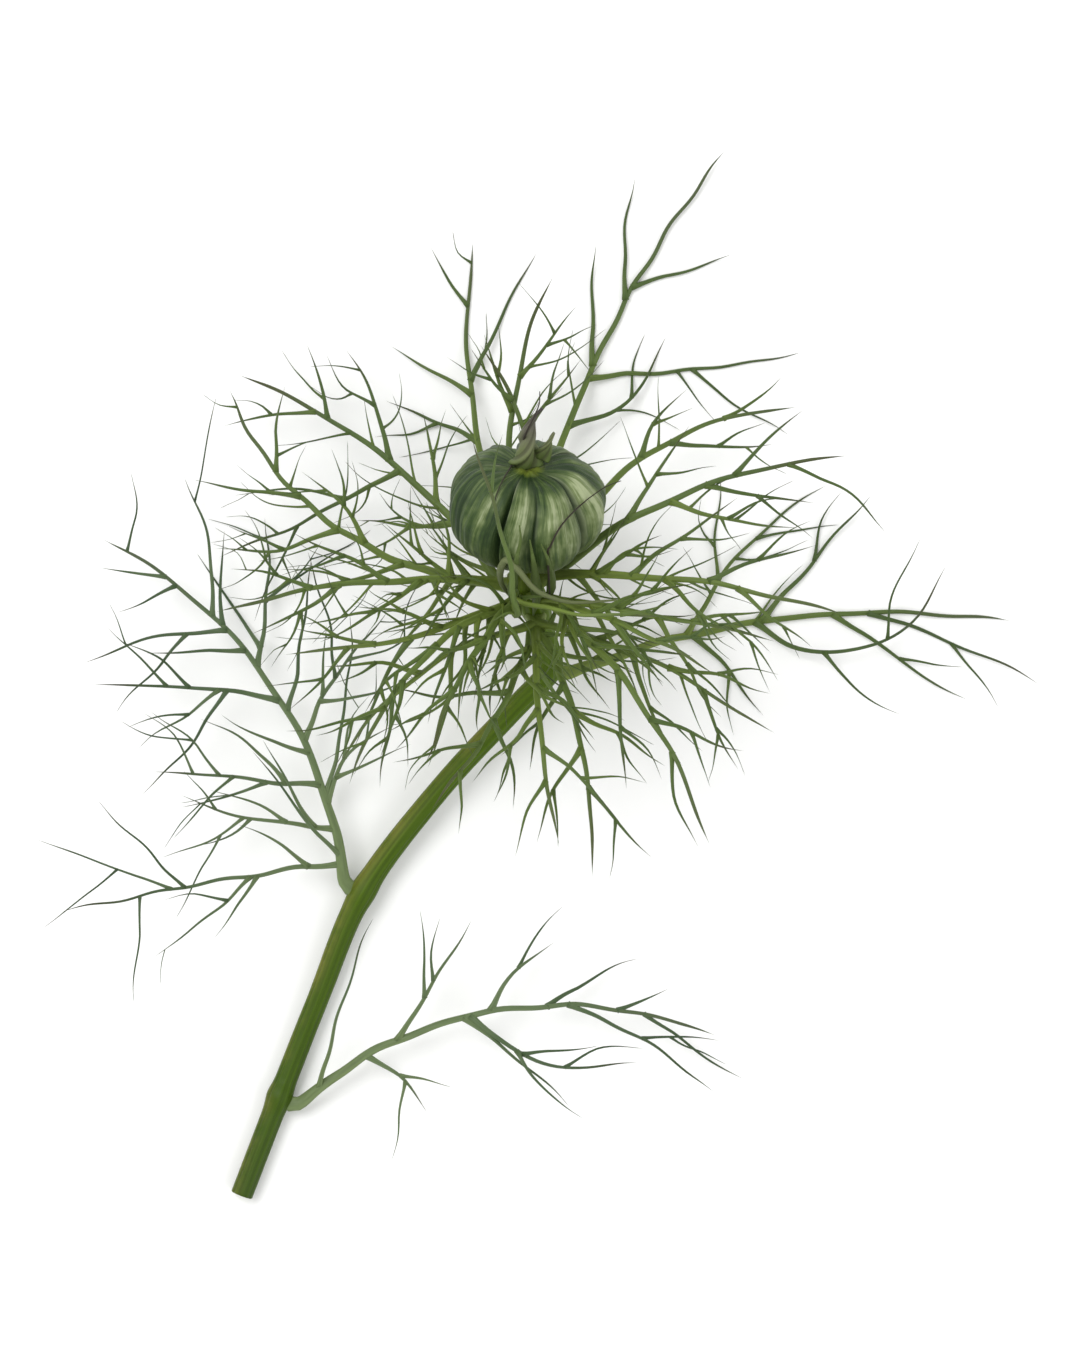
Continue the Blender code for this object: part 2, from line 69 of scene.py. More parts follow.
# The pod
POD_CENTRE = np.array([0.0, -0.3, 14.0])
POD_RADIUS = 6.0
POD_HALF_HEIGHT = 4.4
POD_HEADING = 88.0
POD_RISE = 36.0
# How far out its sides and its ends are filled, from 1 for a plain sphere to 0 for a box
SIDE_FULLNESS = 0.86
END_FULLNESS = 0.9
# The furrows between its lobes and a shallower groove down each lobe, nearer to its left edge.
# Depths are shares of the radius, widths are shares of half a lobe, and places are shares of
# a lobe. The middle of one lobe faces front, and is a little wider than the one behind.
LOBES = 5
FRONT = -70.0
FRONT_WIDENING = 0.05
FURROW = {"depth": 0.19, "width": 0.22}
GROOVE = {"place": 0.38, "depth": 0.08, "width": 0.2}
# The dimple at its tip, and its half width as an angle at the pod's centre, in radians
DIMPLE = {"depth": 0.9, "width": 0.42}
# Two folded tips behind the pod's apex: places on their middle lines, and radii there
POD_TIPS = (
    (
        ((0.0, 3.1, 15.8), (0.0, 4.7, 17.9), (0.5, 6.2, 19.1), (1.2, 7.0, 19.4)),
        (1.3, 0.9, 0.45, 0.12),
    ),
    (((1.1, 3.5, 16.2), (1.7, 4.5, 17.6), (2.1, 5.2, 18.2)), (0.8, 0.5, 0.12)),
)

# The gap between neighbouring pieces
GAP = 0.3
# The neck under the pod: drop below the pod's base, and radius there
NECK = ((0.0, 1.5), (0.6, 1.1), (1.2, 0.9))
# The stalk, from the ruff to its cut end: place, and radius there
STALK = (
    ((-0.15, -5.8, 9.7), 0.95),
    ((1.4, -10.2, 5.6), 0.88),
    ((1.7, -12.9, 4.1), 0.92),
    ((-1.1, -16.0, 3.1), 0.86),
    ((-7.0, -22.4, 2.1), 0.85),
    ((-13.0, -30.4, 1.5), 0.92),
    ((-16.6, -39.0, 1.1), 0.84),
    ((-19.6, -46.6, 0.88), 0.87),
    ((-22.6, -54.4, 0.86), 0.86),
)
STEPS_BETWEEN = 4

# Threads: radii at root and tip, and the length of a straight step
ROOT_TIP = {
    "lobe": (0.50, 0.24),
    "fork": (0.36, 0.20),
    "twig": (0.30, 0.18),
    "tuft": (0.18, 0.08),
    "fine": (0.14, 0.05),
}
STEP = {"lobe": 4.0, "fork": 3.8, "twig": 3.6, "tuft": 1.3, "fine": 1.3}
# A thread's middle above the surface that it lies on, in its own radii
LYING_HEIGHT = 0.65
# The frond that rests flat on the surface is sunk deeper into it
FLAT_FROND = "bract_far"
FLAT_HEIGHT = 0.20
# Room kept round a thread, the spacing of the places where it is tested, and the shortest
# thread that is kept where another is in the way
CLEAR_GAP = 0.42
SAMPLE = 0.5
LEAST_LENGTH = 2.5
# The spacing of the spheres that stand for the stalk, and how far from a frond's root they are
# left out, in stations; and the room that the pod takes up besides its radius
STALK_STEP = 0.06
ROOT_ROOM = 0.16
POD_ROOM = 0.3
# How much steeper or flatter a fork may start than its lobe, and the share of that at its tip
FORK_LIFT = (-16, 14)
FORK_LIFT_LEFT = 0.3
# Twigs: their shares of the way along a short and a long fork, near the frond's root and far
# from it; the spread of their turns, lifts and lengths as shares of the fork's; the length
# that each has besides; and the share of its turn that is left at its tip
LONG_FORK = 11.5
FAR = 16.0
NEAR_TWIGS = ((0.52,), (0.34, 0.62))
FAR_TWIGS = ((), (0.5,))
TWIG_TURN = (34, 54)
TWIG_LIFT = (-22, 22)
TWIG_LENGTH = (0.30, 0.44)
TWIG_BASE = 1.4
TWIG_TURN_LEFT = 0.5
TWIG_SEED = 1000


def direction(heading, rise):
    """Unit vectors for headings and rises in degrees."""
    h, r = np.radians(heading), np.radians(rise)
    return np.stack([np.cos(r) * np.cos(h), np.cos(r) * np.sin(h), np.sin(r)], axis=-1)


POD_AXIS = direction(POD_HEADING, POD_RISE)


def curve(a, b, c, d, t):
    """Places on a smooth curve through b and c, at shares t of the way between them."""
    return 0.5 * (
        2 * b + (c - a) * t + (2 * a - 5 * b + 4 * c - d) * t**2 + (3 * b - a - 3 * c + d) * t**3
    )


def along(station):
    """Place and radius on the stalk at a station counted in STALK's rows, on a smooth curve."""
    places = np.array([place for place, _ in STALK])
    radii = np.array([radius for _, radius in STALK])
    first = int(min(max(math.floor(station), 0), len(STALK) - 2))
    t = station - first
    rows = np.clip([first - 1, first, first + 1, first + 2], 0, len(STALK) - 1)
    return curve(*places[rows], t), radii[first] + (radii[first + 1] - radii[first]) * t


# The lobes of each frond, its main branches. A lobe is its headings and rises at its root and
# tip, its length and its forks. A fork is its share of the way along the lobe, its turns to the
# left from the lobe's heading at its own root and tip, and its length.
BRACT_FAR = (
    ((78, 54), (-31, -3), 38.5, (
        (0.34, -62, 4, 11), (0.46, -66, -60, 17), (0.48, 30, 0, 10), (0.65, 32, 24, 9),
        (0.67, -46, -42, 8),
    )),
    ((117, 84), (-31, -8), 28, (
        (0.42, 44, 56, 9), (0.58, 54, 50, 7), (0.62, -30, -34, 11), (0.84, 40, 34, 5),
    )),
    ((106, 68), (-19, 12), 23, ((0.55, 40, 10, 6), (0.66, -44, -20, 7))),
    ((76, 122), (-17, 16), 18, ((0.58, -40, -60, 7), (0.74, 44, 20, 5))),
)
BRACT_LEFT = (
    ((124, 160), (-14, -16), 28, (
        (0.22, 52, 40, 8), (0.30, -46, -20, 8), (0.44, 66, 62, 16), (0.50, -50, -16, 10),
        (0.72, -58, -50, 6), (0.76, 36, 20, 7),
    )),
    ((178, 110), (6, -20), 28, (
        (0.14, 56, 60, 8), (0.28, 38, 20, 9), (0.40, -44, -20, 7), (0.50, 66, 40, 9),
        (0.64, 46, 20, 8), (0.74, -40, -26, 6),
    )),
    ((174, 196), (30, 4), 23, (
        (0.14, 52, 60, 9), (0.20, -46, -20, 7), (0.30, 40, 30, 10), (0.42, -38, -20, 8),
        (0.60, 36, 20, 7), (0.68, -36, -20, 6),
    )),
)
BRACT_RIGHT = (
    ((40, 6), (10, 2), 25, (
        (0.18, -50, -40, 8), (0.32, 38, 10, 8), (0.44, -48, -24, 10), (0.58, -40, -10, 8),
        (0.66, 32, 10, 7), (0.84, -24, -62, 9),
    )),
    ((2, -12), (34, 4), 24, (
        (0.13, -50, -60, 9), (0.19, 46, 20, 7), (0.30, 44, 20, 10), (0.42, -44, -24, 9),
        (0.58, 36, 14, 8), (0.68, -38, -20, 7),
    )),
    ((68, -4), (-18, -12), 26, ((0.48, 46, 10, 6), (0.58, -34, -20, 8), (0.76, 24, 12, 6))),
)
BRACT_NEAR_LEFT = (
    ((198, 250), (50, 12), 22, (
        (0.15, -52, -20, 7), (0.22, 54, 40, 8), (0.32, 48, 24, 9), (0.44, -44, -10, 8),
        (0.62, 40, 20, 7), (0.74, -40, -10, 6),
    )),
    ((226, 258), (60, 26), 20, (
        (0.18, 54, 50, 8), (0.34, -46, -20, 9), (0.48, 44, 20, 9), (0.66, -38, -10, 7),
    )),
    ((206, 184), (36, 2), 19, (
        (0.15, 58, 70, 8), (0.26, 56, 60, 9), (0.38, -50, -10, 7), (0.52, 48, 70, 9),
        (0.66, -44, -30, 6), (0.78, 40, 30, 6),
    )),
    ((86, 112), (118, -6), 25, ((0.86, -34, -20, 4),)),
    ((-28, 6), (98, -22), 17, ((0.82, -30, -20, 4),)),
)
BRACT_NEAR_RIGHT = (
    ((322, 294), (46, 8), 26, (
        (0.14, -54, -40, 8), (0.21, 50, 20, 7), (0.30, 46, 20, 10), (0.42, -44, -20, 9),
        (0.60, 40, 10, 8), (0.72, -40, -10, 7),
    )),
    ((344, 330), (58, 22), 20, (
        (0.18, -52, -40, 8), (0.36, 40, 14, 9), (0.50, -42, -16, 8), (0.70, 36, 10, 6),
    )),
    ((350, 356), (34, 2), 19, (
        (0.15, -56, -60, 8), (0.26, -54, -60, 9), (0.38, 46, 20, 7), (0.54, -50, -70, 9),
        (0.68, 44, 10, 6), (0.80, -40, -30, 6),
    )),
)
BRACT_FRONT = (
    ((190, 236), (40, 6), 21, (
        (0.14, 60, 60, 8), (0.26, -52, -30, 8), (0.40, 56, 50, 9), (0.54, -48, -30, 8),
        (0.68, 46, 30, 7), (0.80, -40, -30, 6),
    )),
    ((256, 228), (56, 14), 20, (
        (0.16, -60, -50, 8), (0.28, 56, 50, 9), (0.42, -54, -60, 9), (0.56, 50, 40, 8),
        (0.70, -46, -50, 7), (0.82, 40, 30, 5),
    )),
    ((268, 282), (60, 10), 21, (
        (0.14, 58, 40, 7), (0.24, -58, -60, 8), (0.36, 54, 50, 9), (0.50, -50, -50, 9),
        (0.64, 46, 40, 8), (0.78, -44, -30, 6),
    )),
    ((300, 264), (44, 12), 22, (
        (0.16, 56, 50, 8), (0.30, -56, -40, 9), (0.44, 52, 40, 9), (0.58, -46, -30, 8),
        (0.72, 44, 30, 7),
    )),
    ((348, 318), (36, 6), 21, (
        (0.15, -58, -50, 8), (0.27, 50, 20, 8), (0.42, -52, -40, 9), (0.58, 46, 20, 8),
        (0.74, -42, -30, 6),
    )),
)
BRACT_LOW_RIGHT = (
    ((22, -8), (-22, 0), 36, (
        (0.28, 50, 26, 16), (0.30, -56, -70, 8), (0.44, -52, 56, 18), (0.46, 44, 38, 13),
        (0.62, -38, -44, 12), (0.70, -18, -24, 14),
    )),
)
LEAF_LEFT = (
    ((97, 151), (10, -9), 34, (
        (0.04, 84, 100, 22), (0.12, 76, 66, 12), (0.18, -22, -76, 8), (0.24, 70, 56, 13),
        (0.34, -46, -68, 12), (0.46, 50, 64, 14), (0.54, -46, -36, 12), (0.66, 50, 60, 11),
        (0.70, -46, -26, 11), (0.84, 34, 30, 5),
    )),
)
LEAF_RIGHT = (
    ((42, -24), (10, -8), 35, (
        (0.20, -60, -90, 6), (0.27, 34, 40, 11), (0.44, -62, 0, 14), (0.50, 72, 10, 7),
        (0.66, -20, -34, 13), (0.78, 34, 40, 4), (0.84, -20, -28, 9),
    )),
)

# Where each frond leaves the stalk: its station, the side it leaves from, and its lobes
FRONDS = {
    "bract_far": (0.10, (92, -46), BRACT_FAR),
    "bract_left": (0.04, (176, 6), BRACT_LEFT),
    "bract_right": (0.04, (6, 6), BRACT_RIGHT),
    "bract_near_left": (0.14, (226, 44), BRACT_NEAR_LEFT),
    "bract_near_right": (0.14, (312, 44), BRACT_NEAR_RIGHT),
    "bract_front": (0.52, (268, 60), BRACT_FRONT),
    "bract_low_right": (1.95, (20, 0), BRACT_LOW_RIGHT),
    "leaf_left": (5.0, (100, 10), LEAF_LEFT),
    "leaf_right": (7.0, (20, 10), LEAF_RIGHT),
}


def thread_path(start, heading, rise, length, step):
    """Points of a thread whose heading and rise turn evenly from root to tip."""
    count = max(2, round(length / step))
    share = (np.arange(count) + 0.5) / count
    steps = direction(
        heading[0] + (heading[1] - heading[0]) * share, rise[0] + (rise[1] - rise[0]) * share
    )
    return np.vstack([start, start + np.cumsum(steps * length / count, axis=0)])


def laid(points, radii, frond):
    """The points lifted to where the thread lies on the surface."""
    height = FLAT_HEIGHT if frond == FLAT_FROND else LYING_HEIGHT
    lifted = points.copy()
    lifted[:, 2] = np.maximum(points[:, 2], np.linspace(*radii, len(points)) * height)
    return lifted


def steps_of(points):
    """The lengths of the steps of a path."""
    return np.linalg.norm(np.diff(points, axis=0), axis=1)


def reach_along(points):
    """Distances along a path."""
    return np.concatenate([[0.0], np.cumsum(steps_of(points))])


def sampled(points, radii):
    """Spheres along a thread, as rows of x, y, z and radius."""
    reach = reach_along(points)
    places = np.linspace(0.0, reach[-1], max(2, int(reach[-1] / SAMPLE) + 1))
    rows = [np.interp(places, reach, points[:, axis]) for axis in range(3)]
    rows.append(np.linspace(radii[0], radii[1], len(places)))
    return np.stack(rows, axis=1)


def clearance(spheres, others):
    """The gap between each sphere and the nearest of the others."""
    if not len(others):
        return np.full(len(spheres), np.inf)
    gaps = np.linalg.norm(spheres[:, None, :3] - others[None, :, :3], axis=2)
    return (gaps - spheres[:, None, 3] - others[None, :, 3]).min(axis=1)


def solid_spheres(without):
    """The pod and the stalk as spheres, but none near the station where a frond has its root."""
    stations = np.arange(0.0, len(STALK) - 1.0, STALK_STEP)
    rows = [(*along(s)[0], along(s)[1]) for s in stations if abs(s - without) > ROOT_ROOM]
    return np.array([(*POD_CENTRE, POD_RADIUS + POD_ROOM), *rows])


class Thread(NamedTuple):
    """One grown thread: the frond it belongs to, its points, its radii and its kind."""

    frond: str
    points: np.ndarray
    radii: tuple
    kind: str


class Plant:
    """Every thread grown so far, and the room that each frond and the rest take up."""

    def __init__(self):
        self.threads = []
        self.room = {name: np.empty((0, 4)) for name in FRONDS}
        self.solid = {name: solid_spheres(station) for name, (station, _, _) in FRONDS.items()}

    def add(self, thread):
        self.threads.append(thread)
        room = sampled(thread.points, thread.radii)
        self.room[thread.frond] = np.vstack([self.room[thread.frond], room])

    def grow(self, frond, kind, start, heading, rise, length):
        """Adds a thread, bent a little or shortened where it would meet another frond. Gives its
        points, or None where it has no room."""
        others = [room for name, room in self.room.items() if name != frond]
        others = np.vstack([*others, self.solid[frond]])
        radii = ROOT_TIP[kind]
        longest, reach = None, 0
        for lift, turn in BENDS:
            bent = (heading[0] + turn, heading[1] + turn), (rise[0] + lift, rise[1] + lift / 2)
            points = laid(thread_path(start, *bent, length, STEP[kind]), radii, frond)
            spheres = sampled(points, radii)
            blocked = np.flatnonzero(clearance(spheres, others) < CLEAR_GAP)
            if not len(blocked):
                self.add(Thread(frond, points, radii, kind))
                return points
            if blocked[0] > reach:
                longest, reach = spheres[: blocked[0], :3], blocked[0]
        if (reach - 1) * SAMPLE < LEAST_LENGTH:
            return None
        steps = max(2, round(reach * SAMPLE / STEP[kind]))
        points = longest[np.linspace(0, reach - 1, steps + 1).round().astype(int)]
        self.add(Thread(frond, points, radii, kind))
        return points


# Lifts and turns that a thread is tried with, least first
BENDS = [(0, 0)] + [
    (size * lift, size * turn)
    for size in (10, 20, 30)
    for lift, turn in ((1, 0), (-1, 0), (0, 1), (0, -1), (1, 1), (-1, -1))
]


def at_share(points, share):
    """Place, heading and rise at a share of the way along a thread."""
    place = share * (len(points) - 1)
    first = min(int(place), len(points) - 2)
    step = points[first + 1] - points[first]
    rise = math.degrees(math.asin(step[2] / np.linalg.norm(step)))
    return points[first] + step * (place - first), math.degrees(math.atan2(step[1], step[0])), rise


def root_of(frond):
    """Where a frond starts, just clear of the stalk."""
    station, side, _ = FRONDS[frond]
    place, radius = along(station)
    ahead = along(station + 0.05)[0] - along(station - 0.05)[0]
    ahead /= np.linalg.norm(ahead)
    outward = direction(*side)
    outward -= ahead * outward.dot(ahead)
    outward /= np.linalg.norm(outward)
    return place + outward * (radius + GAP + ROOT_TIP["lobe"][0])


def grow_lobes(plant):
    """The lobes of every frond come first, since the forks give way to them."""
    lobes = []
    for frond, (_, _, rows) in FRONDS.items():
        root = root_of(frond)
        for heading, rise, length, forks in rows:
            points = thread_path(root, heading, rise, length, STEP["lobe"])
            points = laid(points, ROOT_TIP["lobe"], frond)
            plant.add(Thread(frond, points, ROOT_TIP["lobe"], "lobe"))
            lobes.append((frond, forks, points))
    return lobes


def grow_forks(plant, lobes):
    """The forks of every lobe."""
    grown = []
    for number, (frond, forks, points) in enumerate(lobes):
        draw = random.Random(number)
        for share, first_turn, last_turn, length in forks:
            start, heading, rise = at_share(points, share)
            lift = draw.uniform(*FORK_LIFT)
            headings = heading + first_turn, heading + last_turn
            rises = rise + lift, rise + FORK_LIFT_LEFT * lift
            made = plant.grow(frond, "fork", start, headings, rises, length)
            if made is not None:
                grown.append((frond, made, length))
    return grown


def grow_twigs(plant, forks):
    """Side twigs, left and right by turns, on every fork."""
    for number, (frond, points, length) in enumerate(forks):
        draw = random.Random(TWIG_SEED + number)
        side = draw.choice((-1, 1))
        far = np.linalg.norm(points[0] - root_of(frond)) > FAR
        for share in (FAR_TWIGS if far else NEAR_TWIGS)[length > LONG_FORK]:
            start, heading, rise = at_share(points, share)
            turn = side * draw.uniform(*TWIG_TURN)
            lift = draw.uniform(*TWIG_LIFT)
            reach = draw.uniform(*TWIG_LENGTH) * length + TWIG_BASE
            headings = heading + turn, heading + TWIG_TURN_LEFT * turn
            plant.grow(frond, "twig", start, headings, (rise + lift, rise), reach)
            side = -side


def grow_plant():
    plant = Plant()
    grow_twigs(plant, grow_forks(plant, grow_lobes(plant)))
    return plant


# Finer twigs, which only the dressed plant has: for each kind of thread that carries them,
# their spacing and their lengths
FINE = {
    "lobe": (3.0, (3.0, 8.0)),
    "fork": (3.0, (2.8, 6.5)),
    "twig": (3.0, (2.2, 4.5)),
    "tuft": (2.6, (2.0, 4.2)),
}
FINE_TURN = (28, 70)
FINE_LIFT = (-32, 34)
FINE_SPREAD = (0.3, 0.95)
FINE_SEED = 5000
# The last place for one along a thread, as a share of its length; and the share of its own
# length that one grows to at the thread's root, and how much of that is gone at the tip
LAST_PLACE = 0.95
ROOT_LENGTH, LENGTH_FALL = 1.2, 0.55
# On the leaves they are stronger, longer by this, and straighter: the share of their turn that
# is left at their tip, there and elsewhere
LEAF_LONGER = 1.7
LEAF_TURN_LEFT = (0.55, 1.15)
TURN_LEFT = (-0.3, 1.3)
# How close they stand on each frond, over what distance from its root they thin out, and how
# many stronger threads grow near the root of each of its lobes
GROWTH = {
    "bract_far": (1.2, 14.0, 2),
    "bract_left": (1.1, 24.0, 3),
    "bract_right": (1.2, 12.0, 3),
    "bract_near_left": (0.55, 6.0, 1),
    "bract_near_right": (0.55, 5.0, 1),
    "bract_front": (0.55, 5.0, 1),
    "bract_low_right": (0.7, 3.0, 0),
    "leaf_left": (1.3, 60.0, 0),
    "leaf_right": (1.0, 16.0, 0),
}
# The share of the finer twigs that is left far out
LEAST_CHANCE = 0.06
# None grow in front of the globe, within this distance of its centre as seen from above, or
# reach further past the solids' outline than this
CLEAR_VIEW = 6.5
LIMITS = np.array(CAD_BOX) / MM + ORIGIN
PAST_OUTLINE = 0.1
# The stronger threads: how far they start from the lobe's root, their turns and the shares of
# these left at their tips, and their lifts and lengths
TUFT_PLACES = (0.8, 6.5)
TUFT_TURN = (35, 105)
TUFT_TURN_LEFT = (-0.2, 1.6)
TUFT_LIFT = (-35, 25)
TUFT_LENGTHS = (3.0, 8.0)
TUFT_SEED = 9000


def within_limits(points):
    return (points > LIMITS[0] - PAST_OUTLINE).all() and (points < LIMITS[1] + PAST_OUTLINE).all()


def in_front(start):
    """Whether a place is in front of the globe or just beside it."""
    return start[2] > POD_CENTRE[2] and np.linalg.norm(start[:2]) < CLEAR_VIEW


def grow_tufts(plant):
    """More threads near the roots of the bracts' lobes."""
    for number, parent in enumerate(list(plant.threads)):
        if parent.kind != "lobe":
            continue
        draw = random.Random(TUFT_SEED + number)
        length = steps_of(parent.points).sum()
        for _ in range(GROWTH[parent.frond][2]):
            start, heading, rise = at_share(parent.points, draw.uniform(*TUFT_PLACES) / length)
            turn = draw.choice((-1, 1)) * draw.uniform(*TUFT_TURN)
            headings = heading + turn, heading + draw.uniform(*TUFT_TURN_LEFT) * turn
            rises = rise + draw.uniform(*TUFT_LIFT), draw.uniform(*TUFT_LIFT)
            reach = draw.uniform(*TUFT_LENGTHS)
            if not in_front(start):
                plant.grow(parent.frond, "tuft", start, headings, rises, reach)


def grow_fine(plant):
    """Finer twigs, left and right by turns, on every thread grown so far."""
    for number, parent in enumerate(list(plant.threads)):
        draw = random.Random(FINE_SEED + number)
        side = draw.choice((-1, 1))
        spacing, lengths = FINE[parent.kind]
        closeness, thinning, _ = GROWTH[parent.frond]
        on_leaf = parent.frond.startswith("leaf")
        longer = LEAF_LONGER if on_leaf else 1.0
        count = int(steps_of(parent.points).sum() / spacing / longer * closeness)
        for place in range(count):
            share = (place + draw.uniform(*FINE_SPREAD)) / count
            start, heading, rise = at_share(parent.points, min(share, LAST_PLACE))
            turn = side * draw.uniform(*FINE_TURN)
            lift = draw.uniform(*FINE_LIFT)
            reach = draw.uniform(*lengths) * longer * (ROOT_LENGTH - LENGTH_FALL * share)
            turn_left = draw.uniform(*(LEAF_TURN_LEFT if on_leaf else TURN_LEFT))
            headings = heading + turn, heading + turn_left * turn
            away = np.linalg.norm(start - root_of(parent.frond))
            chance = math.exp(-((away / thinning) ** 2)) + LEAST_CHANCE
            if draw.random() > chance or in_front(start):
                continue
            kind = "tuft" if on_leaf else "fine"
            points = plant.grow(parent.frond, kind, start, headings, (rise + lift, rise), reach)
            if points is not None and not within_limits(points):
                plant.threads.pop()
            side = -side


class Look(NamedTuple):
    """How a kind of thread is shown: its radii at root and tip, how much wider the root is and
    how soon that fades, how fast it darkens along its length, how far it wanders from the even
    curve, and the corners of its section."""

    radii: tuple
    flare: tuple
    darkening: float
    wander: float
    sides: int


SHOWN = {
    "lobe": Look((0.42, 0.11), (0.9, 2.2), 1 / 54, 0.10, 10),
    "fork": Look((0.23, 0.07), (0.5, 0.6), 1 / 30, 0.11, 8),
    "twig": Look((0.155, 0.05), (0.5, 0.5), 1 / 22, 0.10, 8),
    "tuft": Look((0.205, 0.05), (0.5, 0.5), 1 / 18, 0.12, 8),
    "fine": Look((0.11, 0.03), (0.5, 0.4), 1 / 16, 0.08, 6),
}
# The spacing of a thread's points
SPACING = 0.6
STRAND_SEED = 7000
# The lengths of a thread's waves, and over what distance they set in at its root
WAVES = (5.0, 11.0)
WAVES_START = 3.0
# The curl at a tip, as a share of the length up to the longest that it grows with
CURL = 0.16
CURLED_LENGTH = 8.0
# Over what distance a thread is bent towards the one that it grows from
ROOT_SHIFT_FADE = 4.0
# How fast it thins along its length, the length of its point, the least radius, and the share
# of its length where the dry tip starts
THINNED = 0.8
POINTED = 2.2
FINEST = 0.02
TIP_START = 0.6
# A thread's section: its thickness as a share of its width, and the channel down its upper side
THICKNESS = 0.78
CHANNEL = {"depth": 0.24, "width": math.radians(38)}
# The side that a section's upper face starts on: upwards, but never straight along a thread
UPWARD = (0.02, 0.05, 1.0)


class Strand(NamedTuple):
    """A thread as it is shown: its kind, its points, and at each its radius, how far it has
    darkened and how near it is to its tip; and the shade that is its own."""

    kind: str
    points: np.ndarray
    radii: np.ndarray
    depth: np.ndarray
    tip: np.ndarray
    shade: float


def linked(name, data):
    """A new object in the scene."""
    made = bpy.data.objects.new(name, data)
    bpy.context.scene.collection.objects.link(made)
    return made


def unit(vectors):
    return vectors / np.linalg.norm(vectors, axis=-1, keepdims=True)


def bell(places, width):
    """1 in the middle, at 0, and less to either side."""
    return np.exp(-((places / width) ** 2))


def smooth(points, spacing):
    """Points about the given spacing apart, on a smooth curve through the given ones."""
    ends = np.vstack([2 * points[0] - points[1], points, 2 * points[-1] - points[-2]])
    pieces = []
    for first in range(len(points) - 1):
        knots = ends[first : first + 4]
        count = max(2, math.ceil(np.linalg.norm(knots[2] - knots[1]) / spacing))
        pieces.append(curve(*knots, (np.arange(count) / count)[:, None]))
    return np.vstack([*pieces, points[-1:]])


def wandered(path, reach, amount, draw):
    """The path with slow waves to either side, none at its root, and a curl at its tip."""
    side = unit(np.cross(path[-1] - path[0], direction(draw.uniform(0, 360), draw.uniform(20, 80))))
    other = unit(np.cross(path[-1] - path[0], side))
    fade = np.clip(reach / WAVES_START, 0, 1)
    for along_side in (side, other):
        wave = np.sin(2 * math.pi * (reach / draw.uniform(*WAVES) + draw.random()))
        path = path + along_side * (amount * fade * (wave - wave[0]))[:, None]
    bend = draw.uniform(-CURL, CURL) * min(reach[-1], CURLED_LENGTH) * (reach / reach[-1]) ** 3
    return path + side * bend[:, None]


def make_strand(thread, number, made):
    """The thread as it is shown, rooted on the nearest of the frond's threads made before it."""
    draw = random.Random(STRAND_SEED + number)
    look = SHOWN[thread.kind]
    points = thread.points
    depth, widest = 0.0, look.radii[0]
    if thread.kind == "lobe":
        points = np.vstack([along(FRONDS[thread.frond][0])[0], points])
    path = smooth(points, SPACING)
    reach = reach_along(path)
    path = wandered(path, reach, look.wander, draw)
    if thread.kind != "lobe":
        around = np.vstack([strand.points for strand in made])
        nearest = np.linalg.norm(around - path[0], axis=1).argmin()
        path = path + (around[nearest] - path[0]) * np.exp(-reach / ROOT_SHIFT_FADE)[:, None]
        depth = np.concatenate([strand.depth for strand in made])[nearest]
        widest = min(widest, np.concatenate([strand.radii for strand in made])[nearest])
    share = reach / reach[-1]
    radii = widest + (look.radii[1] - widest) * share**THINNED
    radii *= np.clip((reach[-1] - reach) / POINTED, 0, 1) ** 0.5
    radii *= 1 + look.flare[0] * np.exp(-reach / look.flare[1])
    radii = np.maximum(radii, FINEST)
    path[:, 2] = np.maximum(path[:, 2], radii)
    darkened = np.minimum(depth + reach * look.darkening, 1.0)
    tip = np.clip((share - TIP_START) / (1 - TIP_START), 0, 1)
    return Strand(thread.kind, path, radii, darkened, tip, draw.random())


def side_directions(path):
    """At each point of a path, a direction to its side and one out of its upper face, carried
    along it without twisting."""
    ahead = unit(np.gradient(path, axis=0))
    above = [unit(np.cross(np.cross(ahead[0], UPWARD), ahead[0]))]
    for step in ahead[1:]:
        last = above[-1]
        above.append(unit(last - step * last.dot(step)))
    above = np.array(above)
    return np.cross(above, ahead), above


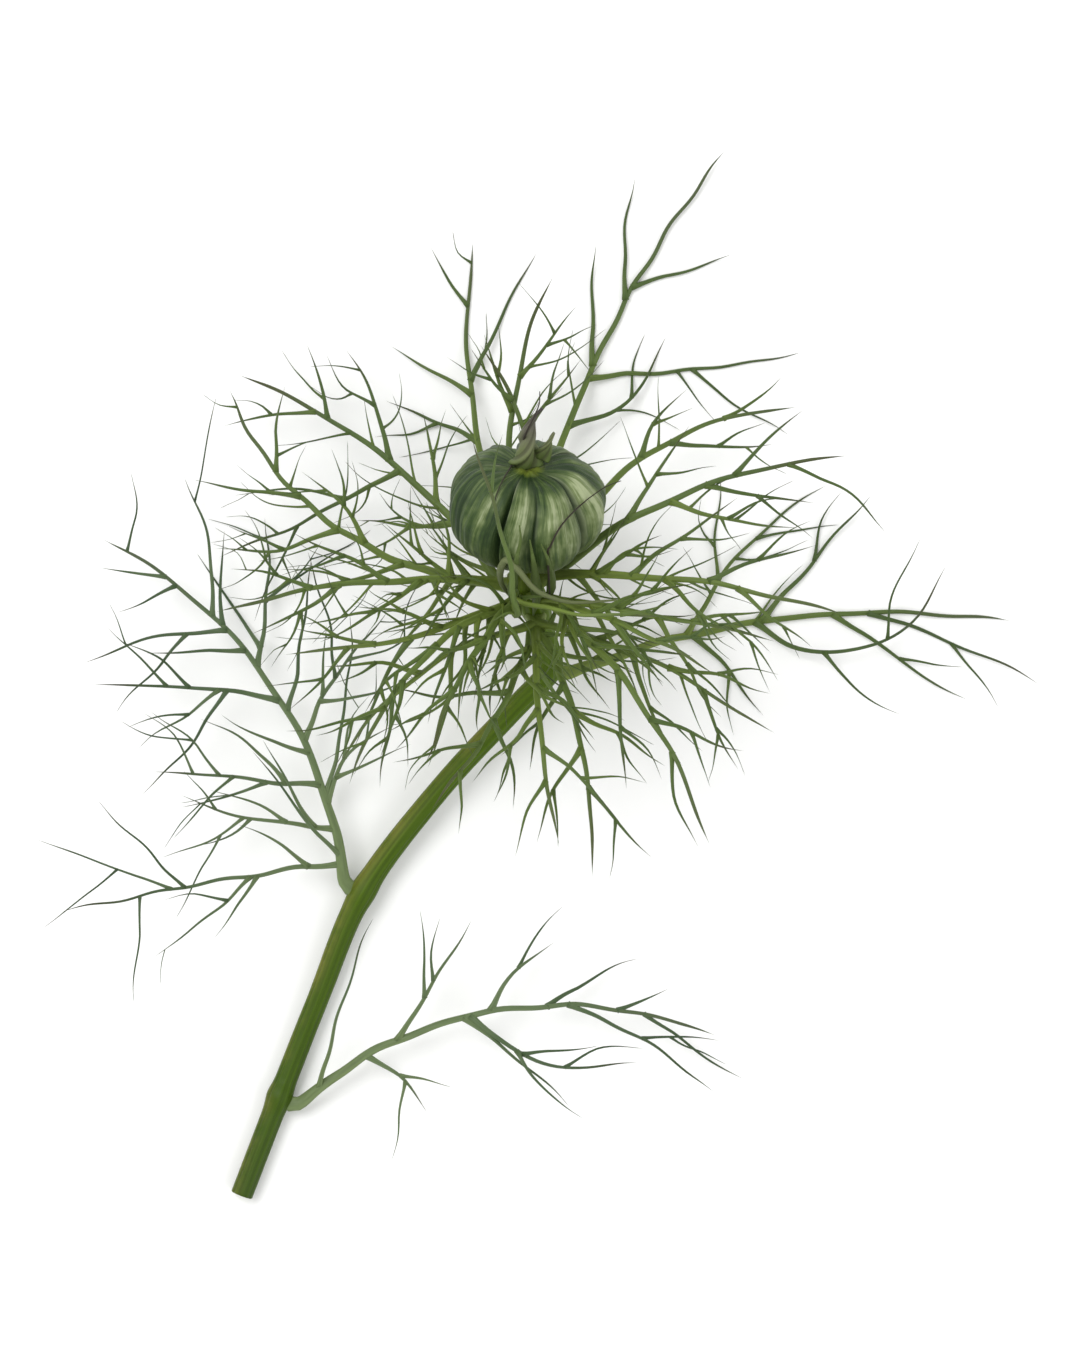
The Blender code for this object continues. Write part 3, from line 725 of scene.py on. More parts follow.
class Shell:
    """A mesh put together from rings of points, closed at both ends, with painted values."""

    def __init__(self):
        self.places = []
        self.faces = []
        self.corners = []
        self.values = {}
        self.count = 0

    def add(self, rings, ends, reach, values):
        """Adds rings, an array of places by ring and corner, closed by a point at each end. reach
        is how far along each ring is, and each value is by ring, or by ring and corner."""
        rows, sides = rings.shape[:2]
        base = self.count
        self.places += [rings.reshape(-1, 3), np.array(ends)]
        self.count += rows * sides + 2
        index = base + np.arange(rows * sides).reshape(rows, sides)
        beside = np.roll(index, -1, axis=1)
        quads = np.stack([index[:-1], beside[:-1], beside[1:], index[1:]], axis=-1)
        self.faces += quads.reshape(-1, 4).tolist()
        around = np.arange(sides) / sides
        after = around + 1 / sides
        pairs = (around, reach[:-1]), (after, reach[:-1]), (after, reach[1:]), (around, reach[1:])
        corner = [np.stack(np.broadcast_arrays(u, v[:, None]), axis=-1) for u, v in pairs]
        self.corners.append(np.stack(corner, axis=2).reshape(-1, 2))
        point = base + rows * sides
        for row, point, turned in ((0, point, True), (rows - 1, point + 1, False)):
            for pair in zip(index[row].tolist(), beside[row].tolist()):
                self.faces.append([point, *(pair[::-1] if turned else pair)])
            self.corners += [np.array([(u, reach[row])] * 3) for u in around]
        for name, value in values.items():
            value = np.asarray(value, float)
            spread = np.broadcast_to(value[:, None] if value.ndim == 1 else value, (rows, sides))
            both = [spread.ravel(), [spread[0].mean(), spread[-1].mean()]]
            self.values.setdefault(name, []).append(np.concatenate(both))

    def piece(self, name, paint):
        """The mesh object, in metres about the origin."""
        mesh = bpy.data.meshes.new(name)
        places = (np.vstack(self.places) - ORIGIN) * MM
        mesh.from_pydata(places.tolist(), [], self.faces)
        for value_name, parts in self.values.items():
            layer = mesh.attributes.new(value_name, "FLOAT", "POINT")
            layer.data.foreach_set("value", np.concatenate(parts).astype(np.float32))
        corners = mesh.uv_layers.new(name="skin")
        corners.data.foreach_set("uv", np.vstack(self.corners).astype(np.float32).ravel())
        mesh.materials.append(paint)
        mesh.shade_smooth()
        return linked(name, mesh)


def angles(sides):
    return 2 * math.pi * np.arange(sides) / sides


def offsets(side, above, x, y):
    """How far each corner of a section is from the path, given to the side and upwards."""
    return side[:, None] * x[..., None] + above[:, None] * y[..., None]


def swept(path, wide, x, y):
    """Rings of a section along a path, with the path's width at each point."""
    return path[:, None] + wide[:, None, None] * offsets(*side_directions(path), x, y)


def add_strand(shell, strand):
    """Sweeps a thread's channelled section along its points."""
    angle = angles(SHOWN[strand.kind].sides)
    channel = bell(angle - math.pi / 2, CHANNEL["width"])
    thickness = np.sin(angle) * THICKNESS * (1 - CHANNEL["depth"] * channel)
    rings = swept(strand.points, strand.radii, np.cos(angle), thickness)
    ends = strand.points[0], 2 * strand.points[-1] - strand.points[-2]
    values = {
        "depth": strand.depth,
        "tip": strand.tip,
        "shade": np.full(len(strand.points), strand.shade),
        # The channel, also the mask for the painted shade in it
        "channel": np.broadcast_to(channel, rings.shape[:2]),
    }
    shell.add(rings, ends, reach_along(strand.points), values)


def placed(piece, node=None):
    """Gives a piece its slot, and puts it in place of a node."""
    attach(piece, "root")
    if node:
        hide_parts(node)


def make_fronds(plant, paint):
    """One piece for each frond, in place of its node."""
    made = {name: [] for name in FRONDS}
    for number, thread in enumerate(plant.threads):
        made[thread.frond].append(make_strand(thread, number, made[thread.frond]))
    for name, strands in made.items():
        shell = Shell()
        for strand in strands:
            add_strand(shell, strand)
        piece = shell.piece(name + "_threads", paint[name.startswith("leaf")])
        placed(piece, name)


# The globe's skin: its grid, and the slow sway of its furrows in lobes
SKIN_COLUMNS = 420
SKIN_ROWS = 150
SWAY = 0.05
# The furrow, at the back, that the grid starts at
SEAM = 3
# Rounds of the search for the heading of a place counted in lobes
HEADING_ROUNDS = 12
# How deep each lobe's left furrow and its groove are, from the front lobe on to the right
FURROW_DEPTHS = (1.0, 1.15, 0.7, 1.7, 0.8)
GROOVE_DEPTHS = (1.0, 0.3, 0.5, 0.4, 0.35)
# The left edge of each part of a lobe lies over its neighbour's right one: height of the step
# at a furrow and at a groove, and how far it reaches from the edge on either side, in parts
LAP = {"furrow": 0.105, "groove": 0.035, "over": 0.30, "under": 0.10}
# Ridges along the lobes, slow bulges over them, wrinkles round the tip, and knobs on it
VEINS = {"count": 9, "height": 0.010}
BULGE = {"size": 2.4, "height": 0.22}
PUCKER = {"count": 23, "height": 0.05, "polar": 0.5, "width": 0.22}
KNOB = {"count": 5, "height": 0.26, "polar": 0.085, "width": 0.055}
# How pale each part of a lobe is, in pale streaks of its own and in a painted highlight on its
# crest, and how strong its vein, counted to the right from the furrow left of the front lobe
RIB_TONES = (1.12, 0.85, 1.15, 0.35, 0.7, 0.15, 0.2, 0.5, 0.1, 0.2)
VEIN_TONES = (0.2, 0.3, 0.4, 0.6, 0.2, 0.3, 0.6, 0.2, 0.3, 1.4)
# The painted shade under the edges and the painted highlight along them, and the pale vein of each
# part: widths, in parts
EDGE_SHADE_WIDTH = 0.27
EDGE_HIGHLIGHT_WIDTH = 0.08
VEIN_WIDTH = 0.08


def azimuth_of(lobe):
    """Azimuths of places counted in lobes from the furrow left of the front lobe."""
    even = (lobe - 0.5) * 2 * math.pi / LOBES
    turned = even
    for _ in range(HEADING_ROUNDS):
        turned = even + FRONT_WIDENING * np.sin(turned)
    return turned + math.radians(FRONT)


def shared_out(values, places):
    """For each place, counted round the globe, the value that is its own."""
    return np.array(values)[places % len(values)]


def part_of(lobe):
    """The part of a lobe, left or right of its groove, that each place is on, counted from the
    front lobe's left one; whether it is a left part, how far across it the place is, and how
    deep the groove is."""
    whole = np.floor(lobe)
    across = lobe - whole
    groove = GROOVE["place"]
    right = across >= groove
    past = np.where(right, (across - groove) / (1 - groove), across / groove)
    groove_depth = shared_out(GROOVE_DEPTHS, whole.astype(int))
    return (2 * whole + right).astype(int), ~right, past, groove_depth


def pod_skin(lobe, polar):
    """The globe's skin about its own axis, for arrays of places counted in lobes and of angles
    from its tip."""
    upright = np.cos(polar)
    dimple = DIMPLE["depth"] * bell(polar, DIMPLE["width"])
    height = POD_HALF_HEIGHT * np.sign(upright) * np.abs(upright) ** END_FULLNESS - dimple
    off_furrow = np.abs(lobe - np.round(lobe)) * 2
    off_groove = (lobe - np.floor(lobe) - GROOVE["place"]) * 2
    furrow_depth = shared_out(FURROW_DEPTHS, np.round(lobe).astype(int))
    _, left, past, groove_depth = part_of(lobe)
    carved = furrow_depth * FURROW["depth"] * bell(off_furrow, FURROW["width"])
    carved += groove_depth * GROOVE["depth"] * bell(off_groove, GROOVE["width"])
    furrow_lap, groove_lap = LAP["furrow"], groove_depth * LAP["groove"]
    carved -= np.where(left, furrow_lap, groove_lap) * np.exp(-past / LAP["over"])
    carved += np.where(left, groove_lap, furrow_lap) * np.exp((past - 1) / LAP["under"])
    carved -= VEINS["height"] * np.cos(2 * math.pi * VEINS["count"] * lobe)
    carved *= np.sqrt(np.abs(np.cos(polar / 2)))
    radius = POD_RADIUS * np.abs(np.sin(polar)) ** SIDE_FULLNESS * (1 - carved)
    azimuth = azimuth_of(lobe + SWAY * sway(lobe, polar))
    near = bell(polar - PUCKER["polar"], PUCKER["width"])
    height = height + PUCKER["height"] * near * np.sin(PUCKER["count"] * azimuth)
    top = bell(polar - KNOB["polar"], KNOB["width"])
    height = height + KNOB["height"] * top * (0.5 + 0.5 * np.cos(KNOB["count"] * azimuth))
    return np.stack([radius * np.cos(azimuth), radius * np.sin(azimuth), height], axis=-1)


def sway(lobe, polar):
    return np.sin(2.4 * polar + 4 * math.pi * lobe / LOBES) * np.sin(polar)


def pod_frame():
    """The pod's own axes as rows: to the side, to the back, and from its base to its tip."""
    heading = math.radians(POD_HEADING)
    side = np.array([math.sin(heading), -math.cos(heading), 0.0])
    return np.stack([side, np.cross(POD_AXIS, side), POD_AXIS])


def on_pod(lobe, polar):
    """Points of the globe's skin on the plant."""
    return POD_CENTRE + pod_skin(lobe, polar) @ pod_frame()


def globe_rings():
    """The places of the skin's grid in lobes and polar angles, and its points, base to tip."""
    polar = np.linspace(math.pi, 0, SKIN_ROWS + 2)[1:-1, None]
    lobe = SEAM + LOBES * np.arange(SKIN_COLUMNS)[None, :] / SKIN_COLUMNS
    lobe, polar = np.broadcast_arrays(lobe, polar)
    rings = on_pod(lobe, polar)
    swelling = [noise.noise(Vector(place) / BULGE["size"]) for place in rings.reshape(-1, 3)]
    swelling = BULGE["height"] * np.reshape(swelling, lobe.shape)
    return lobe, polar, rings + unit(rings - POD_CENTRE) * swelling[..., None]


def make_globe(paint):
    """The globe, a grid of its skin from base to tip."""
    lobe, polar, rings = globe_rings()
    ends = [on_pod(np.array(SEAM), np.array(end)) for end in (math.pi, 0.0)]
    part, left, past, groove_depth = part_of(lobe)
    values = {
        # The lobes' own pale streaks and a painted highlight on each part's crest, with painted
        # shade towards its edges
        "pale_streak_and_highlight": shared_out(RIB_TONES, part) * np.sin(math.pi * past) ** 0.7,
        # Painted shade on each part, just under the raised edge of its neighbour
        "under": np.where(left, groove_depth, 1.0) * np.exp((past - 1) / EDGE_SHADE_WIDTH),
        # Painted highlight along each part's raised edge
        "rim_highlight": np.where(left, 1.0, 0.5 * groove_depth) * np.exp(-past / EDGE_HIGHLIGHT_WIDTH),
        "vein": shared_out(VEIN_TONES, part) * bell(past - 0.5, VEIN_WIDTH),
        "polar": polar / math.pi,
    }
    shell = Shell()
    shell.add(rings, ends, reach_along(rings[:, 0]), values)
    placed(shell.piece("globe", paint), "pod")


# The folded tips behind the globe's apex: for each its flattening, its turns of twist from end
# to end and how dry its end is; and the ridges along them
TIPS = ((0.62, 0.8, 1.0), (0.5, 0.4, 0.45))
TIP_SIDES = 24
TIP_SPACING = 0.1
TIP_RIDGES = {"count": 5, "height": 0.12}
# Threads that lean on the globe: free places before it, places on the globe as seen from above,
# and free places after it; their radii at the middle and the ends, and how dry they are. One
# dry one lies on the longer tip first, and the other rises from the bract in front. The green
# ones rise past the neck, and the widest of them turns down again to the right.
LEANING = (
    (
        ((1.0, 8.3, 18.9), (0.95, 7.3, 19.6), (0.5, 6.2, 19.75), (-0.05, 5.1, 19.2)),
        ((-0.65, 3.7), (-1.25, 2.6), (-1.85, 1.5), (-2.3, 0.4), (-2.45, -0.5)),
        (), (0.10, 0.035), 1.3,
    ),
    (
        ((1.5, -8.0, 10.4), (1.75, -7.2, 13.4), (1.7, -6.0, 16.4)),
        ((1.6, -3.9), (2.5, -2.1), (3.7, -0.7), (4.7, 0.2)),
        ((6.0, 1.1, 17.0), (7.2, 1.6, 16.2)), (0.09, 0.035), 1.4,
    ),
    (
        ((-0.9, -8.4, 9.8), (-1.15, -7.2, 12.4), (-1.0, -6.0, 15.2)),
        ((-0.75, -4.4), (-0.45, -3.0), (-0.55, -1.9)), (), (0.42, 0.05), -0.1,
    ),
    (
        ((0.5, -8.6, 9.4), (0.75, -7.3, 12.2), (0.7, -6.0, 15.0)),
        ((0.5, -4.5), (0.25, -3.0)), (), (0.50, 0.06), -0.2,
    ),
    (
        ((1.3, -8.0, 9.6), (1.8, -6.8, 12.4), (1.9, -5.7, 15.0)),
        ((1.6, -4.4), (1.1, -3.3)), (), (0.40, 0.05), -0.1,
    ),
    (
        ((-0.9, -7.6, 10.6), (-1.9, -6.3, 13.6), (-2.0, -5.2, 16.6)),
        ((-1.5, -4.5),),
        ((-0.6, -5.3, 18.2), (0.4, -6.5, 17.6), (1.5, -7.2, 17.0), (3.6, -7.7, 16.0),
         (6.9, -7.5, 15.0)),
        (0.30, 0.08), 0.3,
    ),
)
# Their height above the skin, the corners of their section, the share of the way at which they
# are widest, the spacing of their points and of the places where they rest on the skin, and how
# far round each place the skin is searched
LEAN_HEIGHT = 0.06
LEAN_SIDES = 8
LEAN_WIDEST = 0.35
LEAN_SPACING = 0.25
REST_SPACING = 0.4
REST_SEARCH = 0.2


def add_leaning(shell, path, radii, dryness):
    """A round thread along a path."""
    angle = angles(LEAN_SIDES)
    share = np.linspace(0, 1, len(path))
    wide = np.interp(share, (0, LEAN_WIDEST, 1), (radii[1], radii[0], radii[1]))
    rings = swept(path, wide, np.cos(angle), np.sin(angle))
    dry = np.full(len(path), dryness)
    shell.add(rings, path[[0, -1]], reach_along(path), {"dryness": dry, "ridge": 0 * dry})


def make_tips(paint):
    """The two folded tips, and the threads that lean on the globe."""
    shell = Shell()
    for (places, radii), (flat, twist, dryness) in zip(POD_TIPS, TIPS):
        path = smooth(np.array(places), TIP_SPACING)
        reach = reach_along(path)
        share = reach / reach[-1]
        wide = np.interp(share, np.linspace(0, 1, len(radii)), radii)
        turn = 2 * math.pi * twist * share[:, None]
        angle = angles(TIP_SIDES)[None, :]
        ridged = 1 + TIP_RIDGES["height"] * np.cos(TIP_RIDGES["count"] * angle)
        across = ridged * np.cos(angle)
        through = ridged * np.sin(angle) * flat
        x = across * np.cos(turn) - through * np.sin(turn)
        y = across * np.sin(turn) + through * np.cos(turn)
        rings = swept(path, wide, x, y)
        ridge = np.broadcast_to(ridged - 1, rings.shape[:2])
        shell.add(rings, path[[0, -1]], reach, {"dryness": share * dryness, "ridge": ridge})
    skin = globe_rings()[2].reshape(-1, 3)
    for before, places, after, radii, dryness in LEANING:
        resting = []
        for x, y in smooth(np.array(places), REST_SPACING) if len(places) > 1 else places:
            under = np.hypot(skin[:, 0] - x, skin[:, 1] - y) < REST_SEARCH
            resting.append((x, y, skin[under, 2].max() + radii[0] + LEAN_HEIGHT))
        path = smooth(np.array([*before, *resting, *after]), LEAN_SPACING)
        add_leaning(shell, path, radii, dryness)
    placed(shell.piece("globe_tips", paint))


# The stalk as it is shown: its corners, the spacing of its points, its ribs, and how far it
# starts inside the globe
STEM_SIDES = 66
STEM_SPACING = 0.22
STEM_RIBS = {"count": 11, "height": 0.032}
STEM_TOP = 0.7
# Swellings where fronds leave it: station, size in radii, and length in stations
SWELLINGS = (
    (-0.1, 0.5, 0.35),
    (0.5, 0.3, 0.2),
    (1.95, 0.16, 0.16),
    (5.0, 0.15, 0.12),
    (7.0, 0.18, 0.10),
)
# The side of the stalk that faces the key light, where a painted yellowish light lies
PAINTED_LIGHT_SIDE = (-0.9, 0.45, 0.35)
# The cut end: shares of the radius at which the face steps in, and how deep it is there
CUT_FACE = ((0.94, 0.05), (0.84, 0.06), (0.72, 0.02), (0.45, -0.06), (0.2, -0.10))
# The face is painted with this at its middle, and with less by the share of the radius
FACE_MIDDLE = 1.15


def make_stem(paint):
    """The stalk: ribbed, swollen where fronds leave it, and cut off square."""
    base = POD_CENTRE - POD_AXIS * (POD_HALF_HEIGHT + GAP)
    neck = [base + POD_AXIS * STEM_TOP] + [base - POD_AXIS * drop for drop, _ in NECK]
    stations = np.arange((len(STALK) - 1) * STEPS_BETWEEN + 1) / STEPS_BETWEEN
    rows = np.array(neck + [along(s)[0] for s in stations])
    widths = [NECK[0][1]] + [radius for _, radius in NECK] + [along(s)[1] for s in stations]
    marks = [-1.0] * len(neck) + list(stations)
    path = smooth(rows, STEM_SPACING)
    reach, knots = reach_along(path), reach_along(rows)
    knots *= reach[-1] / knots[-1]
    wide = np.interp(reach, knots, widths)
    station = np.interp(reach, knots, marks)
    for place, size, length in SWELLINGS:
        wide = wide * (1 + size * bell(station - place, length))
    path[:, 2] = np.maximum(path[:, 2], wide * (1 + STEM_RIBS["height"]))
    side, above = side_directions(path)
    angle = angles(STEM_SIDES)
    ribbed = 1 + STEM_RIBS["height"] * np.cos(STEM_RIBS["count"] * angle)
    facing = offsets(side, above, np.cos(angle), np.sin(angle))
    rings = path[:, None] + (wide[:, None] * ribbed)[..., None] * facing
    cut = [
        path[-1] + unit(path[-1] - path[-2]) * depth + share * (rings[-1] - path[-1])
        for share, depth in CUT_FACE
    ]
    rows = np.concatenate([rings, cut])
    reach = np.concatenate([reach, reach[-1] + np.linspace(0.1, 1, len(CUT_FACE))])
    facing = np.concatenate([facing, np.repeat(facing[-1:], len(CUT_FACE), axis=0)])
    values = {
        "station": np.concatenate([station, np.full(len(CUT_FACE), station[-1])]),
        "face": np.concatenate([np.zeros(len(path)), [FACE_MIDDLE - s for s, _ in CUT_FACE]]),
        "rib": np.broadcast_to(ribbed - 1, rows.shape[:2]),
        # How far each corner faces the lit side: the mask for the painted light
        "painted_light_flank": np.clip(facing @ unit(np.array(PAINTED_LIGHT_SIDE)), 0, 1) ** 2,
    }
    shell = Shell()
    shell.add(rows, (path[0], rows[-1].mean(axis=0)), reach, values)
    placed(shell.piece("stem", paint), "stalk")


class Paint:
    """A material and short ways to add nodes to it."""

    def __init__(self, name, specular=0.22):
        self.material = bpy.data.materials.new(name)
        self.material.use_nodes = True
        self.tree = self.material.node_tree
        self.shader = self.tree.nodes["Principled BSDF"]
        self.shader.inputs["Specular IOR Level"].default_value = specular

    def node(self, kind, inputs=None, **settings):
        """A node with its inputs given by name or number: a value, or another node's output."""
        made = self.tree.nodes.new("ShaderNode" + kind)
        for key, value in settings.items():
            setattr(made, key, value)
        for key, value in (inputs or {}).items():
            if isinstance(value, bpy.types.NodeSocket):
                self.tree.links.new(value, made.inputs[key])
            else:
                made.inputs[key].default_value = value
        return made

    def value(self, name):
        """What the mesh has painted under a name."""
        return self.node("Attribute", attribute_name=name).outputs["Fac"]

    def math(self, operation, *values):
        return self.node("Math", dict(enumerate(values)), operation=operation).outputs[0]

    def times(self, *values):
        return self.math("MULTIPLY", *values)

    def plus(self, *values):
        return self.math("ADD", *values)

    def line(self, *values):
        """A value times a slope, and a start added."""
        return self.math("MULTIPLY_ADD", *values)

    def range(self, source, low, high):
        """0 below low, 1 above high, and smooth between."""
        inputs = {"Value": source, "From Min": low, "From Max": high}
        return self.node("MapRange", inputs, interpolation_type="SMOOTHSTEP").outputs["Result"]

    def noise(self, scale, detail=3.0, vector=None, roughness=0.55):
        inputs = {"Scale": scale, "Detail": detail, "Roughness": roughness}
        inputs["Vector"] = vector or self.node("TexCoord").outputs["Object"]
        return self.node("TexNoise", inputs).outputs["Fac"]

    def lengthwise(self, around, along_it):
        """The skin's own coordinates, for streaks that run along it: streaks in a turn, and
        streaks in a millimetre."""
        uv = self.node("UVMap", uv_map="skin").outputs["UV"]
        inputs = {"Vector": uv, "Scale": (around, along_it, 1.0)}
        return self.node("Mapping", inputs).outputs["Vector"]

    def ramp(self, source, *stops):
        """A colour for each place between the stops."""
        made = self.node("ValToRGB", {"Fac": source})
        steps = made.color_ramp.elements
        while len(steps) < len(stops):
            steps.new(0.5)
        for step, (place, colour) in zip(steps, stops):
            step.position = place
            step.color = (*colour, 1.0)
        return made.outputs["Color"]

    def mix(self, share, first, second, blend="MIX"):
        """One colour mixed into another by a share."""
        colours = [c if isinstance(c, bpy.types.NodeSocket) else (*c, 1.0) for c in (first, second)]
        inputs = {0: share, 6: colours[0], 7: colours[1]}
        made = self.node("Mix", inputs, data_type="RGBA", blend_type=blend)
        return made.outputs[2]

    def lit(self, share, colour, light):
        """A colour made lighter or darker by a share of a light."""
        grey = self.node("CombineColor", {0: light, 1: light, 2: light}).outputs[0]
        return self.mix(share, colour, grey, "MULTIPLY")

    def finish(self, colour, roughness, height, depth):
        """Sets the colour, the roughness and a relief of a depth in millimetres."""
        bump = self.node("Bump", {"Height": height, "Distance": depth * MM, "Strength": 1.0})
        for name, source in (("Base Color", colour), ("Roughness", roughness)):
            self.tree.links.new(source, self.shader.inputs[name])
        self.tree.links.new(bump.outputs["Normal"], self.shader.inputs["Normal"])
        return self.material


# The threads' colours from the head or stalk outwards
BRACT_GREENS = (
    (0.0, (0.150, 0.205, 0.034)),
    (0.22, (0.112, 0.164, 0.034)),
    (0.5, (0.070, 0.112, 0.029)),
    (0.85, (0.050, 0.080, 0.027)),
    (1.0, (0.062, 0.084, 0.036)),
)
LEAF_GREENS = (
    (0.0, (0.150, 0.202, 0.082)),
    (0.3, (0.122, 0.170, 0.078)),
    (0.6, (0.068, 0.108, 0.050)),
    (0.9, (0.042, 0.072, 0.034)),
    (1.0, (0.052, 0.078, 0.040)),
)


def thread_paint(name, stops):
    """Threads: light green near the head, darkening outwards, with greyish tips and painted shade
    in their channel."""
    paint = Paint(name)
    mottle = paint.noise(420)
    streak = paint.noise(1.0, 2.0, paint.lengthwise(9, 0.5))
    wavering = paint.line(mottle, 0.3, -0.15)
    own = paint.line(paint.value("shade"), 0.26, -0.13)
    depth = paint.plus(paint.plus(paint.value("depth"), wavering), own)
    colour = paint.ramp(depth, *stops)
    colour = paint.lit(0.75, colour, paint.line(streak, 0.9, 0.55))
    browned = paint.range(paint.value("shade"), 0.45, 0.75)
    dry = paint.mix(browned, (0.080, 0.088, 0.048), (0.068, 0.048, 0.028))
    tip = paint.times(paint.range(paint.value("tip"), 0.1, 1.0), 0.6)
    colour = paint.mix(tip, colour, dry)
    # Painted shade in the channel down the thread's upper side
    colour = paint.mix(paint.times(paint.value("channel"), 0.35), colour, (0.02, 0.04, 0.008))
    return paint.finish(colour, paint.line(mottle, 0.3, 0.34), streak, 0.06)


def globe_paint():
    """Pale silky streaks on the lobes, partly their own and partly a painted highlight on each
    part's crest; painted shade under their edges and a painted highlight along them; a yellow-green
    tip and an olive base."""
    paint = Paint("globe_skin", 0.25)
    polar = paint.value("polar")
    streak = paint.noise(1.0, 4.0, paint.lengthwise(80, 0.20), 0.65)
    fine = paint.noise(1.0, 2.0, paint.lengthwise(330, 0.5))
    patch = paint.noise(260, 3.0)
    # A painted highlight on the crests, strongest halfway down the globe and fading towards its tip
    # and base
    lit = paint.times(paint.range(polar, 0.08, 0.28), paint.range(polar, 0.78, 0.42))
    tone = paint.times(paint.value("pale_streak_and_highlight"), lit)
    tone = paint.line(tone, 0.66, 0.16)
    tone = paint.plus(tone, paint.times(paint.value("vein"), 0.26))
    blotch = paint.noise(800, 2.0)
    for source, amount in ((streak, 1.75), (patch, 0.8), (blotch, 0.7), (fine, 0.45)):
        tone = paint.plus(tone, paint.line(source, amount, -0.5 * amount))
    colour = paint.ramp(
        tone,
        (0.0, (0.012, 0.030, 0.006)),
        (0.25, (0.032, 0.062, 0.012)),
        (0.5, (0.074, 0.112, 0.030)),
        (0.75, (0.165, 0.210, 0.085)),
        (1.0, (0.320, 0.365, 0.205)),
    )
    base = paint.range(polar, 0.52, 0.80)
    olive = paint.ramp(streak, (0.3, (0.045, 0.078, 0.008)), (0.7, (0.110, 0.150, 0.030)))
    colour = paint.mix(base, colour, olive)
    tip = paint.range(paint.plus(polar, paint.times(patch, 0.05)), 0.090, 0.055)
    yellow = paint.ramp(fine, (0.3, (0.075, 0.125, 0.012)), (0.7, (0.190, 0.220, 0.030)))
    colour = paint.mix(tip, colour, yellow)
    away = paint.range(polar, 0.05, 0.13)
    # Painted highlight along the lobes' raised edges, broken up by the patches
    rim_highlight = paint.times(paint.times(paint.value("rim_highlight"), away), paint.range(patch, 0.4, 0.6))
    colour = paint.mix(paint.times(rim_highlight, 0.6), colour, (0.270, 0.310, 0.170))
    # Painted shade under the lobes' raised edges
    under = paint.times(paint.value("under"), away)
    colour = paint.mix(paint.times(under, 0.92), colour, (0.014, 0.028, 0.010))
    relief = paint.plus(streak, fine)
    return paint.finish(colour, paint.line(streak, 0.35, 0.30), relief, 0.05)


def tips_paint():
    """The folded tips: green at their root, drying to grey and purple, and brown at last, with
    painted shade in the furrows between their ridges.
    """
    paint = Paint("globe_tips_skin")
    streak = paint.noise(1.0, 3.0, paint.lengthwise(26, 0.8))
    dryness = paint.plus(paint.value("dryness"), paint.line(streak, 0.5, -0.25))
    colour = paint.ramp(
        paint.times(dryness, 0.75),
        (0.0, (0.085, 0.125, 0.030)),
        (0.25, (0.140, 0.165, 0.070)),
        (0.5, (0.118, 0.112, 0.084)),
        (0.75, (0.055, 0.047, 0.045)),
        (1.0, (0.032, 0.026, 0.017)),
    )
    # Painted shade in the furrows between the tips' ridges
    furrow = paint.range(paint.value("ridge"), 0.02, -0.1)
    colour = paint.mix(paint.times(furrow, 0.55), colour, (0.040, 0.040, 0.022))
    return paint.finish(colour, paint.line(streak, 0.3, 0.42), streak, 0.05)


def stem_paint():
    """The stalk: green, paler ribs, a painted yellowish light on the side towards the key light,
    darkening towards the cut end, with a pale cut face.
    """
    paint = Paint("stem_skin", 0.14)
    streak = paint.noise(1.0, 3.0, paint.lengthwise(30, 0.10), 0.6)
    mottle = paint.noise(300, 4.0)
    lower = paint.line(paint.value("station"), 1 / 9, 0.1)
    lower = paint.plus(lower, paint.line(mottle, 0.3, -0.15))
    colour = paint.ramp(
        lower,
        (0.0, (0.100, 0.145, 0.014)),
        (0.2, (0.070, 0.122, 0.005)),
        (0.45, (0.056, 0.104, 0.001)),
        (0.8, (0.040, 0.078, 0.002)),
        (1.0, (0.036, 0.068, 0.006)),
    )
    # Painted yellowish light on the side of the stalk towards the key light
    painted_light = paint.times(paint.value("painted_light_flank"), paint.range(mottle, 0.3, 0.7))
    colour = paint.mix(paint.times(painted_light, 0.85), colour, (0.165, 0.165, 0.030))
    light = paint.plus(paint.line(streak, 0.9, 0.55), paint.times(paint.value("rib"), 4.0))
    colour = paint.lit(0.8, colour, light)
    pith = paint.ramp(
        paint.value("face"),
        (0.2, (0.120, 0.165, 0.060)),
        (0.45, (0.200, 0.230, 0.110)),
        (0.75, (0.360, 0.370, 0.230)),
        (1.0, (0.420, 0.420, 0.280)),
    )
    pith = paint.mix(paint.range(paint.noise(2600, 2.0), 0.5, 0.62), pith, (0.150, 0.170, 0.080))
    colour = paint.mix(paint.range(paint.value("face"), 0.1, 0.22), colour, pith)
    return paint.finish(colour, paint.line(mottle, 0.25, 0.32), streak, 0.07)


def floor_paint():
    paint = Paint("floor", 0.2)
    grain = paint.noise(60, 5.0)
    colour = paint.ramp(grain, (0.3, (0.86, 0.86, 0.85)), (0.7, (0.89, 0.89, 0.885)))
    return paint.finish(colour, paint.line(grain, 0.1, 0.75), grain, 0.02)


# The floor, and how far it lies under the surface, in metres
FLOOR_SIZE = 1.5
FLOOR_DROP = 0.00004


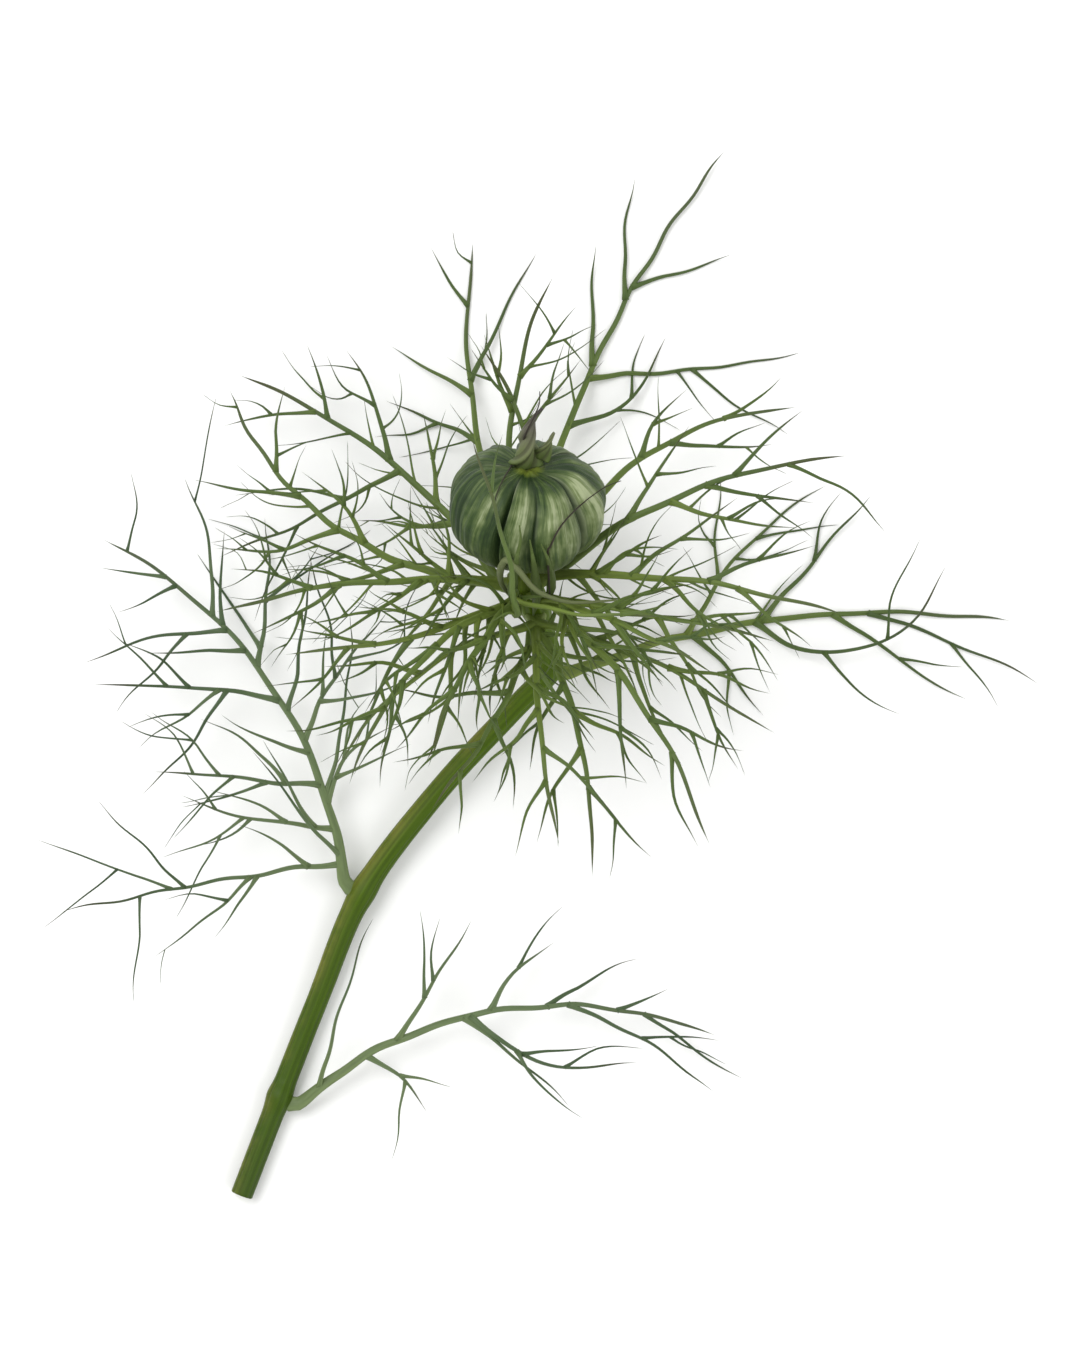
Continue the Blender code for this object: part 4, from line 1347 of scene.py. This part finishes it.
def make_floor():
    """A plain pale floor that the plant lies on."""
    shape = bmesh.new()
    bmesh.ops.create_grid(shape, x_segments=1, y_segments=1, size=FLOOR_SIZE)
    mesh = bpy.data.meshes.new("floor")
    shape.to_mesh(mesh)
    shape.free()
    mesh.materials.append(floor_paint())
    floor = linked("floor", mesh)
    floor.location.z = -FLOOR_DROP


# The photograph's frame, and how many of its pixels show a millimetre
FRAME_PIXELS = (1080, 1350)
PIXELS_PER_MM = 12.6
LENS = 150.0
SENSOR = 36.0
CLIP_START = 0.01


def make_camera():
    """Straight above the plant, with its head up in the picture."""
    centre = (CAD_BOX[0] + CAD_BOX[1]) / 2
    height = FRAME_PIXELS[1] / PIXELS_PER_MM * MM * LENS / SENSOR
    camera = linked("camera", bpy.data.cameras.new("camera"))
    camera.data.lens = LENS
    camera.data.sensor_width = SENSOR
    camera.data.clip_start = CLIP_START
    camera.location = (centre.x, centre.y, height)
    bpy.context.scene.camera = camera


# Large soft lights: name, place, size, power in watts
LIGHTS = (
    ("key", (-0.35, 0.30, 0.75), 0.55, 4.2),
    ("fill", (0.55, -0.25, 0.60), 0.7, 1.6),
)
WORLD_LIGHT = 0.85


def make_lights():
    world = bpy.data.worlds.new("studio")
    world.use_nodes = True
    sky = world.node_tree.nodes["Background"].inputs
    sky["Color"].default_value = (1.0, 1.0, 1.0, 1.0)
    sky["Strength"].default_value = WORLD_LIGHT
    bpy.context.scene.world = world
    for name, place, size, power in LIGHTS:
        lamp = bpy.data.lights.new(name, "AREA")
        lamp.shape = "DISK"
        lamp.size = size
        lamp.energy = power
        made = linked(name, lamp)
        made.location = place
        made.rotation_euler = (-Vector(place)).to_track_quat("-Z", "Y").to_euler()
    bpy.context.scene.view_settings.view_transform = "Standard"


def main():
    plant = grow_plant()
    grow_tufts(plant)
    grow_fine(plant)
    bract_skin = thread_paint("bract_skin", BRACT_GREENS)
    make_fronds(plant, (bract_skin, thread_paint("leaf_skin", LEAF_GREENS)))
    make_globe(globe_paint())
    make_tips(tips_paint())
    make_stem(stem_paint())
    make_floor()
    make_camera()
    make_lights()


main()
